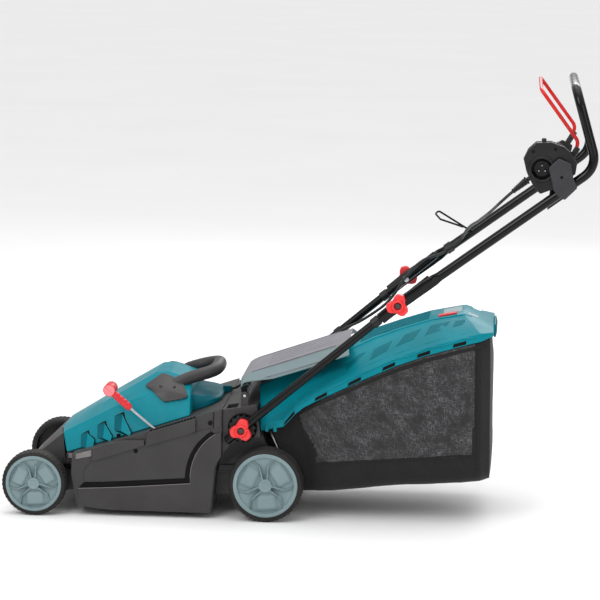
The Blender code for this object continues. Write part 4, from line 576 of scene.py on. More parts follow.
def makeHood():
    steps, rings = hoodLook["steps"], []
    stations = [[mix(a, b, k / steps) for a, b in zip(low, high)]
                for low, high in zip(hoodStations, hoodStations[1:]) for k in range(steps)]
    for xBase, xTop, half, crease, creaseHalf, top, topHalf in stations + [hoodStations[-1]]:
        right = [(xBase, half, ledge(xBase) + 0.0004), ((xBase + xTop) / 2, creaseHalf, crease),
                 (xTop, topHalf, top)]
        rings.append(right + [(x, -y, z) for x, y, z in reversed(right)])
    bm = bmesh.new()
    skin(bm, rings)
    hood = addPiece("motorHood", bm, hoodAbs, 20)
    bmTail = bmesh.new()
    plan = [(0.325, 0.096), (0.356, 0.094), (0.370, 0.088), (0.380, 0.077), (0.387, 0.062), (0.390, 0.046)]
    plan += [(x, -y) for x, y in reversed(plan)]
    levels = ((0.0, 1.0), (0.30, 1.0), (0.62, 0.985), (0.82, 0.95), (0.93, 0.90), (1.0, 0.82))
    skin(bmTail, [[(mix(0.325, x, size), y * size,
                    mix(ledge(x) + 0.0006, mix(0.2545, 0.2470, (x - 0.325) / 0.065), rise)) for x, y in plan]
                  for rise, size in levels])
    slab(bmTail, [(0.384, ledge(0.384)), (0.4035, ledge(0.4035)), (0.4035, 0.2525), (0.384, 0.2525)], 0.023,
         0.037)
    # the tail takes the darker teal: painted shade on the hood's rear lobe
    tail = soften(addPiece("hoodTail", bmTail, hoodAbsDark, 25), 0.0016, 2, 30)
    soften(hood, hoodLook["edge"], 3, 14)
    fit(hood, "chassis", "hood_plastic", "motor_hood")
    fit(tail, "chassis", "hood_plastic")

    # three scoops on each flank, open towards the rear
    scoops = ((0.0930, 0.1400, 0.1085, 0.1755, 0.1250, 0.1600, 0.1225, 0.1445),
              (0.1290, 0.1620, 0.1455, 0.1975, 0.1640, 0.1700, 0.1610, 0.1580),
              (0.1665, 0.1790, 0.1845, 0.2180, 0.2060, 0.1790, 0.2020, 0.1720))
    for side, s in sides:
        bm = bmesh.new()
        for x0, z0, x1, z1, x2, z2, x3, z3 in scoops:
            out = hoodLook["louvre"]
            front, peak = (x0, s * (hoodSide(x0, z0) + 0.0015), z0), (x1, s * (hoodSide(x1, z1) + 0.0030), z1)
            frontTop = (x0 - 0.001, s * (hoodSide(x0, z1 - 0.009) + 0.0020), z1 - 0.009)
            rear = (x2, s * (hoodSide(x2, z2) + out), z2)
            rearLow = (x3, s * (hoodSide(x3, z3) + out * 0.9), z3)
            mid = (mix(x0, x2, 0.42), s * (hoodSide(x1, z0) + out * 0.75), mix(z0, z1, 0.05))
            ridge = (x1 - 0.001, s * (hoodSide(x1, z1) + out * 0.45), z1 - 0.006)
            backTop = (x1 + 0.002, s * (hoodSide(x1, z1) - 0.003), z1 - 0.001)
            backLow = (x2, s * (hoodSide(x2, z2) - 0.004), z2)
            backFoot = (x3, s * (hoodSide(x3, z3) - 0.004), z3)
            v = {k: bm.verts.new(p) for k, p in {"front": front, "frontTop": frontTop, "peak": peak,
                                                 "ridge": ridge, "mid": mid, "rear": rear, "rearLow": rearLow,
                                                 "backTop": backTop, "backLow": backLow,
                                                 "backFoot": backFoot}.items()}
            # outer facet in teal; front and underside facets in the darker teal, rear opening and inner faces
            # near-black: painted shade
            for face, part in ((("front", "mid", "ridge", "frontTop"), 1), (("frontTop", "ridge", "peak"), 1),
                               (("mid", "rearLow", "rear", "ridge"), 0),
                               (("ridge", "rear", "backLow", "backTop"), 2),
                               (("ridge", "backTop", "peak"), 2),
                               (("rear", "rearLow", "backFoot", "backLow"), 2),
                               (("front", "backFoot", "rearLow", "mid"), 1),
                               (("front", "frontTop", "peak", "backTop", "backLow", "backFoot"), 2)):
                bm.faces.new([v[k] for k in face]).material_index = part
        bmesh.ops.recalc_face_normals(bm, faces=bm.faces)
        louvres = soften(addPiece(f"hoodLouvres{side.title()}", bm, [hoodAbs, hoodAbsDark, nearBlackPpAndPaintedShade], 20),
                         0.0009, 2, 20)
        fit(louvres, "chassis", "hood_plastic")
        bm = bmesh.new()                # square drain holes above the deck, near-black blocks: painted shade inside the holes
        for x, z in ((0.1022, 0.1440), (0.1767, 0.1695)):
            y = hoodSide(x, z)
            slab(bm, [(x - 0.004, z - 0.004), (x + 0.004, z - 0.0028), (x + 0.004, z + 0.004),
                      (x - 0.004, z + 0.0034)], s * (y - 0.004), s * (y + 0.0013))
        holes = addPiece(f"hoodHoles{side.title()}", bm, nearBlackPpAndPaintedShade)
        fit(holes, "chassis", "hood_plastic")


makeHood()
print("hood done")


# carry handle
def makeCarryHandle():
    thick = 0.0125
    half = [(0.288, 0.0900, 0.2760, 0.0090), (0.303, 0.0845, 0.2805, 0.0122), (0.324, 0.0770, 0.2880, thick),
            (0.350, 0.0705, 0.2955, thick), (0.366, 0.0610, 0.2995, thick), (0.3750, 0.0430, 0.3020, 0.0132),
            (0.3780, 0.0200, 0.3035, 0.0142)]
    spine = [(x, -y, z) for x, y, z, _ in half] + [(x, y, z) for x, y, z, _ in reversed(half)]
    sizes = [r for *_, r in half] + [r for *_, r in reversed(half)]
    path = flowing(spine, 0.004)
    radii = []
    for point in path:
        nearest = sorted(range(len(spine)), key=lambda k: (Vector(spine[k]) - point).length)[:2]
        d = [max(1e-6, (Vector(spine[k]) - point).length) for k in nearest]
        r = (sizes[nearest[0]] * d[1] + sizes[nearest[1]] * d[0]) / (d[0] + d[1])
        radii.append((r, r * 1.1))
    bm = bmesh.new()
    sweep(bm, path, radii, 28)
    grip = addPiece("carryHandle", bm, deckPp)
    fit(grip, "chassis", "deck_plastic", "carry_handle")
    plate = [(0.2290, 0.2700, 0.2672), (0.2450, 0.2805, 0.2635), (0.2580, 0.2895, 0.2545),
             (0.2650, 0.2915, 0.2490), (0.2745, 0.2895, 0.2428), (0.2860, 0.2860, 0.2445),
             (0.2990, 0.2800, 0.2468), (0.3110, 0.2720, 0.2490), (0.3200, 0.2610, 0.2512),
             (0.3232, 0.2560, 0.2525)]
    bm = bmesh.new()
    for _, s in sides:
        rings = []
        for x, high, low in plate:
            rows = ([], [])
            for k in range(9):
                z = mix(high, low, k / 8)
                y, lean = hoodSkin(x, z)
                out = Vector((0, s * lean[0], lean[1]))
                for row, lift in zip(rows, (0.0008, 0.0058)):
                    row.append(Vector((x, s * y, z)) + out * lift)
            rings.append(rows[0] + rows[1][::-1])
        skin(bm, rings)
    plates = soften(addPiece("carryHandlePlates", bm, deckPp, 40), 0.0014, 3, 50)
    fit(plates, "chassis", "deck_plastic")
    bm, heads = bmesh.new(), bmesh.new()
    for _, s in sides:
        for x, z in ((0.2645, 0.2692), (0.2924, 0.2684)):
            y, lean = hoodSkin(x, z)
            out = Vector((0, s * lean[0], lean[1]))
            spot = Vector((x, s * y, z)) + out * 0.0056
            lathe(bm, [(0.0, 0.0), (0.0037, 0.0), (0.0037, 0.0003), (0.0, 0.0003)], spot, out, 24)
            lathe(heads, [(0.0, 0.0), (0.0017, 0.0), (0.0014, 0.0003), (0.0, 0.0003)], spot + out * 0.0003,
                  out, 16)
    # near-black discs round the screw heads: painted shade of the screw wells
    place("carryHandleScrewWells", bm, nearBlackPpAndPaintedShade, "chassis", "deck_plastic")
    place("carryHandleScrews", heads, darkSteel, "chassis", "steel")


makeCarryHandle()
print("carry handle done")

# wheels
wheelLook = {"radial": 46, "around": 216, "tread": 0.0009, "front": (0.070, 0.042), "rear": (0.080, 0.045)}


def hubDepth(f, angle):
    if f > 0.985:
        return -0.0012
    if f > 0.872:
        return 0.0
    if f < 0.215:
        return -0.0016 if f < 0.115 else (-0.0004 if f < 0.135 else 0.0)
    depth = -0.0040
    turned = (angle + radians(4.5)) % (2 * pi / 3)
    turned = turned if turned < pi / 3 else turned - 2 * pi / 3
    lateral = abs(f * sin(turned))
    reach = f * cos(turned)
    if f < 0.63:
        half = mix(0.05, 0.118, (f - 0.21) / 0.42)
    else:
        half = mix(0.118, 0.305, min(1.0, (f - 0.63) / 0.22))
    if turned and lateral < half and f < 0.855:
        depth = -0.0125 + 0.0075 * ease(0.25, 0.84, reach)
    elif lateral < half + 0.045:
        depth = -0.0016          # the bright rib beside each fan
    else:
        other = (angle + radians(4.5) + pi / 3) % (2 * pi / 3)
        other = other if other < pi / 3 else other - 2 * pi / 3
        side, up = abs(f * sin(other)), f * cos(other)
        raised = ease(0.34, 0.20, side - 0.06 * up) * ease(0.26, 0.40, up) * ease(0.84, 0.70, up)
        depth = mix(-0.0078, -0.0030, raised)
        if f > 0.80:
            depth = min(depth, -0.0062)
    return depth


def makeWheel(end, side, s, axleX):
    radius, width = wheelLook[end]
    centre = (axleX, radius)
    body = f"{end}_{side}_wheel"
    rim, face = radius * 0.865, trackOuter
    count, rows = wheelLook["around"], wheelLook["radial"]
    bm = bmesh.new()
    rings = []
    for row in range(rows + 1):
        f = 0.004 + 0.996 * row / rows
        ring = []
        for k in range(count):
            a = 2 * pi * k / count
            x, z = centre[0] + f * rim * sin(a), centre[1] + f * rim * cos(a)
            ring.append((x, s * (face + hubDepth(f, a)), z))
        rings.append(ring)
    back = [(rim, -width + 0.002), (rim - 0.003, -width + 0.002), (rim - 0.003, -0.0175), (0.011, -0.0175),
            (0.011, -width + 0.004), (0.0056, -width + 0.004)]
    for r, h in back:
        rings.append([(centre[0] + r * sin(2 * pi * k / count), s * (face + h),
                       centre[1] + r * cos(2 * pi * k / count)) for k in range(count)])
    skin(bm, rings)
    # the hub's inner faces take black: painted shade; the hub is grey plastic all over
    for patch in bm.faces:
        if abs(patch.calc_center_median().y) < trackOuter - 0.0170:
            patch.material_index = 1
    hub = addPiece(f"{end}{side.title()}Hub", bm, [hubPp, blackNylonAndPaintedShade], 50)
    fit(hub, body, "grey_plastic", f"{end}_{side}_hub")
    profile = [(rim + 0.0003, -0.0022), (rim + 0.0010, -0.0008), (rim + 0.0022, -0.0006),
               (rim + 0.0030, -0.0016), (rim + 0.0052, -0.0019), (radius - 0.0048, -0.0022),
               (radius - 0.0040, -0.0014), (radius - 0.0030, -0.0017), (radius - 0.0022, -0.0034),
               (radius - 0.0012, -0.0062), (radius - 0.0006, -0.0100)]
    ribs = 4
    for k in range(ribs):           # round grooves in the tread
        y0 = -0.0105 - (width - 0.021) * k / ribs
        y1 = -0.0105 - (width - 0.021) * (k + 1) / ribs
        profile += [(radius - 0.0006, mix(y0, y1, 0.10)), (radius - 0.0004, mix(y0, y1, 0.5)),
                    (radius - 0.0006, mix(y0, y1, 0.82)), (radius - 0.0022, mix(y0, y1, 0.90)),
                    (radius - 0.0022, mix(y0, y1, 0.97))]
    profile += [(radius - 0.0006, -width + 0.0098), (radius - 0.0012, -width + 0.0062),
                (radius - 0.0028, -width + 0.0024), (radius - 0.0050, -width + 0.0012),
                (rim + 0.0003, -width + 0.0012)]
    bm = bmesh.new()
    lathe(bm, profile, (centre[0], s * face, centre[1]), (0, s, 0), 144)
    tyre = addPiece(f"{end}{side.title()}Tyre", bm, tyrePvc, 45)
    fit(tyre, body, "tyre_rubber", f"{end}_{side}_tyre")
    paths = []
    for h, r in ((-0.0074, radius - 0.0010), (-width + 0.0074, radius - 0.0010)):
        paths.append([(centre[0] + r * cos(2 * pi * k / 96), s * (face + h),
                       centre[1] + r * sin(2 * pi * k / 96)) for k in range(96)])
    lugs = repeated(f"{end}{side.title()}TreadLugs", paths,
                    {"spacing": 0.0098, "length": 0.0034, "width": 0.0075, "height": wheelLook["tread"] * 2,
                     "centre": (centre[0], s * (face - width / 2), centre[1])}, tyrePvc, closed=True)
    fit(lugs, body, "tyre_rubber")


for side, s in sides:
    makeWheel("front", side, s, 0.0)
    makeWheel("rear", side, s, wheelbase)
print("wheels done")

# handle tubes
tubeLook = {"lower": 0.009, "upper": 0.010, "gap": 0.0003, "crushed": 0.0035, "bend": 0.052, "round": 30}


def makeTubes():
    for side, s in sides:
        start, end = away(lowPivot, lowerAngle + pi, 0.043), away(midPivot, lowerAngle, 0.086)
        y = s * lowerTubeY
        bm = bmesh.new()
        wall = tubeLook["lower"]
        stops = [(0.0, 0.0080), (0.0010, wall), (0.5, wall), (0.999, wall), (1.0, 0.0080)]
        path = [Vector((mix(start[0], end[0], t), y, mix(start[1], end[1], t))) for t, _ in stops]
        path[1] = path[0] + (path[2] - path[0]).normalized() * 0.001
        path[3] = path[4] - (path[2] - path[0]).normalized() * 0.001
        sweep(bm, path, [(r, r) for _, r in stops], tubeLook["round"])
        place(f"lowerTube{side.title()}", bm, tubePaint, "lower_handle", "black_paint", f"lower_tube_{side}")
        bm = bmesh.new()            # plastic sleeve below the bolted joint, and a plug in the tube's foot
        a, b = away(midPivot, lowerAngle + pi, 0.052), away(midPivot, lowerAngle + pi, 0.070)
        way = Vector((cos(lowerAngle), 0, sin(lowerAngle)))
        lathe(bm, [(0.0093, -0.009), (0.0104, -0.009), (0.0112, -0.008), (0.0112, 0.007), (0.0106, 0.009),
                   (0.0093, 0.009)], ((a[0] + b[0]) / 2, y, (a[1] + b[1]) / 2), way, 32)
        lathe(bm, [(0, -0.0012), (0.0070, -0.0012), (0.0088, -0.0002), (0.0088, 0.0), (0, 0.0)],
              (start[0], y, start[1]), way, 24)
        place(f"tubeSleeve{side.title()}", bm, blackNylonAndPaintedShade, "lower_handle", "black_plastic")

    inner, crushed = lowerTubeY + tubeLook["lower"] + tubeLook["gap"], tubeLook["crushed"]
    full = (tubeLook["upper"], tubeLook["upper"])
    legs = {}
    for s in (-1, 1):
        legs[s] = [(away(midPivot, lowerAngle + pi, 0.048), s * (inner + crushed), (crushed, 0.0125)),
                   (midPivot, s * (inner + crushed), (crushed, 0.0130)),
                   (away(midPivot, upperAngle, 0.060), s * (inner + crushed), (crushed, 0.0125)),
                   (away(midPivot, upperAngle, 0.090), s * (inner + 0.0045), (0.0045, 0.0120)),
                   (away(midPivot, upperAngle, 0.107), s * upperTubeY, full)]
    corners = [(legs[-1][-1][0][0], -upperTubeY, legs[-1][-1][0][1]),
               (upperCorner[0], -upperTubeY, upperCorner[1]), (gripTop[0], -upperTubeY, gripTop[1]),
               (gripTop[0], upperTubeY, gripTop[1]), (upperCorner[0], upperTubeY, upperCorner[1]),
               (legs[1][-1][0][0], upperTubeY, legs[1][-1][0][1])]
    bend = bent(corners, tubeLook["bend"], 14)

    def leg(s):
        fine = []
        for (p, y, r), (q, yy, rr) in zip(legs[s], legs[s][1:]):
            steps = 6
            for k in range(steps):
                t = ease(0, 1, k / steps)
                fine.append(((mix(p[0], q[0], k / steps), mix(y, yy, t), mix(p[1], q[1], k / steps)),
                             (mix(r[0], rr[0], t), mix(r[1], rr[1], t))))
        return fine

    left, right = leg(-1), leg(1)
    path = [p for p, _ in left] + bend + [p for p, _ in right[::-1]]
    radii = [r for _, r in left] + [full] * len(bend) + [r for _, r in right[::-1]]
    bm = bmesh.new()
    sweep(bm, path, radii, tubeLook["round"])
    place("upperHandleTube", bm, tubePaint, "upper_handle", "black_paint", "upper_handle", sharp=50)


makeTubes()
print("tubes done")

# hand knobs, saddles and bolts
knobLook = {"reach": 0.026, "waist": 0.0160, "flat": 0.0240, "around": 96, "depth": 0.018,
            "lowSeat": 0.0093, "midSeat": 0.0167}


def makeKnob(which, side, s, pivot, faceY):
    name = f"{which}_knob_{side}"
    count, deep = knobLook["around"], knobLook["depth"]
    outline = []
    for k in range(count):
        a = 2 * pi * k / count
        turn = a - pi / 2 - 0.25 * s
        lobe = (0.5 + 0.5 * cos(3 * turn)) ** 0.85
        wave = knobLook["waist"] + (knobLook["reach"] - knobLook["waist"]) * lobe
        # each lobe ends nearly flat
        tip = knobLook["flat"] / cos((turn + pi / 3) % (2 * pi / 3) - pi / 3)
        outline.append(min(wave, 0.35 * wave + 0.65 * tip))
    levels = [(0.94, 0.0, 0), (0.985, 0.0012, 0), (1.0, 0.0030, 0), (0.995, deep * 0.55, 0),
              (0.985, deep * 0.80, 0), (0.955, deep * 0.93, 0), (0.90, deep * 0.985, 0), (0.84, deep, 0),
              (0.0150, deep, 1), (0.0138, deep - 0.0006, 1), (0.0128, deep + 0.0006, 1),
              (0.0118, deep + 0.0027, 1), (0.0108, deep + 0.0030, 1), (0.0092, deep + 0.0030, 1),
              (0.0082, deep + 0.0020, 1), (0.0076, deep - 0.0060, 1), (0.0004, deep - 0.0062, 1)]
    rings = []
    for size, height, circular in levels:
        ring = []
        for k in range(count):
            a = 2 * pi * k / count
            r = size if circular else outline[k] * size
            if circular and size > 0.0145:
                r = min(r, outline[k] * 0.80)
            ring.append((pivot[0] + r * cos(a), s * (faceY + height), pivot[1] + r * sin(a)))
        rings.append(ring)
    bm = bmesh.new()
    skin(bm, rings)
    place(f"{which}Knob{side.title()}", bm, knobPa, name, "red_plastic", name, sharp=50)
    bm = bmesh.new()                # the hexagon nut pressed into the knob, and the bolt's end in it
    lathe(bm, [(0, deep - 0.0064), (0.0068, deep - 0.0064), (0.0068, deep - 0.0018), (0.0060, deep - 0.0012),
               (0.0032, deep - 0.0012), (0.0032, deep - 0.0020), (0, deep - 0.0020)],
          (pivot[0], s * faceY, pivot[1]), (0, s, 0), 6)
    place(f"{which}KnobNut{side.title()}", bm, darkSteel, name, "steel", sharp=20)


def makeJoints():
    for side, s in sides:
        makeKnob("low", side, s, lowPivot, lowerTubeY + knobLook["lowSeat"])
        makeKnob("mid", side, s, midPivot, lowerTubeY + knobLook["midSeat"])
        disc = soften(traced(f"pivotDisc{side.title()}", f"pivot_disc_{side}", blackNylonAndPaintedShade), 0.0005, 1, 40)
        fit(disc, "lower_handle", "black_plastic", f"pivot_disc_{side}")
        bm = bmesh.new()            # round boss on the deck behind the toothed disc
        lathe(bm, [(0.022, 0.0), (0.0315, 0.0), (0.0315, 0.0035), (0.0300, 0.0050), (0.0296, 0.0020),
                   (0.022, 0.0020)], (lowPivot[0], s * 0.1705, lowPivot[1]), (0, s, 0), 64)
        place(f"pivotBoss{side.title()}", bm, nearBlackPpAndPaintedShade, "chassis", "deck_plastic", sharp=40)


makeJoints()
print("knobs done")


# cutting height lever
def makeLever():
    base, grip = (0.2570, 0.1885), (0.1600, 0.2728)
    rodY = -0.166
    angle = atan2(grip[1] - base[1], grip[0] - base[0])
    normal = Vector((-sin(angle), 0, cos(angle)))
    path, radii = [], []
    for k in range(61):
        t = k / 60
        x, z = away(base, angle, mix(0.0680, 0.118, t))
        wave = 0.0011 * (0.5 + 0.5 * cos(2 * pi * 5 * t)) * ease(0.02, 0.12, t) * ease(0.98, 0.86, t)
        swell = 0.0006 * sin(pi * t)
        path.append(Vector((x, rodY, z)) - normal * wave * 0.4)
        end = 1 - 0.16 * ease(0.06, 0.0, t)
        radii.append(((0.0062 + swell) * end, (0.0080 + swell - 0.0011 + wave) * end))
    bm = bmesh.new()
    sweep(bm, path, radii, 28)
    head = away(base, angle, 0.1285)
    lowY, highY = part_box("height_lever_grip")[0][1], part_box("height_lever_grip")[1][1]
    lathe(bm, [(0, 0.0), (0.0112, 0.0), (0.0127, 0.0008), (0.0135, 0.0024), (0.0135, highY - lowY - 0.0026),
               (0.0127, highY - lowY - 0.0008), (0.0110, highY - lowY), (0, highY - lowY)],
          (head[0], lowY, head[1]), (0, 1, 0), 56)
    place("heightLeverGrip", bm, leverPa, "height_lever", "red_plastic", "height_lever_grip", sharp=40)
    bm = bmesh.new()                # the paler end face with its mould parting line
    lathe(bm, [(0, 0.0), (0.0118, 0.0), (0.0118, 0.0006), (0, 0.0006)], (head[0], lowY - 0.0004, head[1]),
          (0, 1, 0), 48)
    place("heightLeverEndFace", bm, leverFacePa, "height_lever", "red_plastic", sharp=40)
    bm = bmesh.new()
    lean = radians(-40)
    a, b = away(head, lean, 0.0112), away(head, lean + pi, 0.0112)
    sweep(bm, [(a[0], lowY - 0.0003, a[1]), (b[0], lowY - 0.0003, b[1])], 0.00042, 8)
    place("heightLeverPartingLine", bm, leverPa, "height_lever", "red_plastic")
    pivot = (0.350, 0.145)
    rod = bent([(pivot[0], rodY, pivot[1]), (base[0] + 0.004, rodY, base[1] - 0.001),
                (mix(base[0], grip[0], 0.62), rodY, mix(base[1], grip[1], 0.62))], 0.03, 8)
    bm = bmesh.new()
    sweep(bm, rod, 0.0030, 20)
    lathe(bm, [(0.0046, -0.0030), (0.0085, -0.0030), (0.0085, 0.0030), (0.0046, 0.0030)],
          (pivot[0], rodY, pivot[1]), (0, 1, 0), 32)
    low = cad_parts["height_lever_rod"]
    place("heightLeverRod", bm, zincSteel, "height_lever", "steel", "height_lever_rod", sharp=40)
    arm = bmesh.new()               # the short arm under the pivot that pushes the link
    corners = [low.matrix_world @ v.co - home for v in low.data.vertices]
    foot = min(corners, key=lambda c: c.z)
    sweep(arm, bent([(pivot[0], rodY, pivot[1] - 0.006), (foot.x, rodY, foot.z + 0.003),
                     (foot.x, -0.1530, foot.z + 0.003)], 0.006, 6), 0.0030, 20)
    place("heightLeverArm", arm, zincSteel, "height_lever", "steel", sharp=40)


makeLever()
print("lever done")

# rear flap
flapLook = {"half": 0.150, "drop": 0.019, "thick": 0.003}


def makeFlap():
    lip = [(0.4445, 0.2545), (0.4400, 0.2625), (0.4362, 0.2730), (0.4345, 0.284), (0.4356, 0.2915),
           (0.4398, 0.2988), (0.4500, 0.3045)]
    path = lip + [(0.4500 + t * 0.216, 0.3045 + t * 0.0745) for t in (0.06, 0.25, 0.5, 0.75, 0.97, 1.0)]
    across = [(-1.0, 1.0), (-0.985, 0.96), (-0.80, 0.54), (-0.62, 0.13), (-0.567, 0.02), (-0.50, 0.0),
              (0.0, 0.0)]
    across += [(-y, d) for y, d in across[::-1][1:]]
    outer, inner = [], []
    for k, (x, z) in enumerate(path):
        before, after = path[max(0, k - 1)], path[min(len(path) - 1, k + 1)]
        length = hypot(after[0] - before[0], after[1] - before[1])
        nx, nz = -(after[1] - before[1]) / length, (after[0] - before[0]) / length
        share = min(1.0, 0.35 + 0.65 * ease(0.4345, 0.52, x))
        rows = ([], [])
        for y, fall in across:
            for row, depth in zip(rows, (0.0, flapLook["thick"])):
                sink = depth + flapLook["drop"] * fall * share
                row.append((x - nx * sink, y * flapLook["half"], z - nz * sink))
        outer.append(rows[0])
        inner.append(rows[1])
    bm = bmesh.new()
    skin(bm, [a + b[::-1] for a, b in zip(outer, inner)])
    for _, s in sides:              # knuckles round the hinge pin
        rim = [(0.451 + 0.0075 * cos(radians(a)), 0.268 + 0.0075 * sin(radians(a)))
               for a in range(170, 361, 10)]
        slab(bm, rim + [(0.4565, 0.292), (0.4415, 0.285)], s * 0.145, s * 0.152)
    # top in pinkish grey, shoulders in grey-green; the knuckles' lower faces near the pin near-black: painted
    # shade of the slot round the pin
    for face in bm.faces:
        spot = face.calc_center_median()
        face.material_index = 1 if abs(spot.y) > 0.094 else 0
        if spot.z < 0.2795 and spot.x > 0.4405 and abs(spot.y) > 0.1445:
            face.material_index = 2
    flap = soften(addPiece("rearFlap", bm, [flapPp, flapSidePp, nearBlackPpAndPaintedShade], 25), 0.0011, 3, 25)
    fit(flap, "flap", "grey_plastic", "rear_flap")
    # two raised lines along each shoulder, and the deflector's stiffening beads
    bm = bmesh.new()
    slope = Vector((0.216, 0, 0.0745)).normalized()
    upright = Vector((-slope.z, 0, slope.x))
    for _, s in sides:
        for y, fall in ((0.0905, 0.035), (0.1430, 0.87)):
            start = Vector((0.4560, s * y, 0.3066)) - upright * (flapLook["drop"] * fall * 0.75 - 0.0002)
            end = start + slope * 0.196 - upright * flapLook["drop"] * fall * 0.25
            sweep(bm, [start, start.lerp(end, 0.02), start.lerp(end, 0.98), end],
                  [(0.0003, 0.0003), (0.0011, 0.0008), (0.0011, 0.0008), (0.0003, 0.0003)], 10)
    for y in (-0.052, -0.026, 0.0, 0.026, 0.052):
        start = Vector((0.4900, y, 0.3182)) + Vector((-slope.z, 0, slope.x)) * 0.0001
        sweep(bm, [start, start + slope * 0.004, start + slope * 0.146, start + slope * 0.150],
              [(0.0004, 0.0003), (0.0022, 0.0010), (0.0022, 0.0010), (0.0004, 0.0003)], 12)
    place("flapBeads", bm, flapPp, "flap", "grey_plastic", sharp=40)


makeFlap()
print("flap done")

# catcher lid
lidStations = [(0.4820, 0.190, 0.150, 0.2760, 0.085), (0.534, 0.2005, 0.158, 0.3040, 0.084),
               (0.560, 0.230, 0.163, 0.3135, 0.083), (0.578, 0.245, 0.165, 0.3205, 0.082),
               (0.615, 0.265, 0.165, 0.3340, 0.080), (0.670, 0.291, 0.165, 0.3610, 0.074),
               (0.720, 0.316, 0.165, 0.3850, 0.068), (0.773, 0.340, 0.165, 0.4050, 0.064),
               (0.838, 0.3645, 0.165, 0.4260, 0.062), (0.914, 0.3870, 0.165, 0.4410, 0.062),
               (0.951, 0.396, 0.160, 0.4280, 0.060), (0.978, 0.404, 0.135, 0.4170, 0.056)]
lidLook = {"edge": 0.0024, "band": 0.018}


def lidAt(x, column):
    for low, high in zip(lidStations, lidStations[1:]):
        if x <= high[0]:
            break
    return mix(low[column], high[column], (x - low[0]) / (high[0] - low[0]))


def lidFlank(x, share):
    rim, half, top, topHalf = (lidAt(x, k) for k in (1, 2, 3, 4))
    band = min(rim + lidLook["band"], top - 0.004)
    return (x, mix(half, topHalf, share), mix(band, top, share))


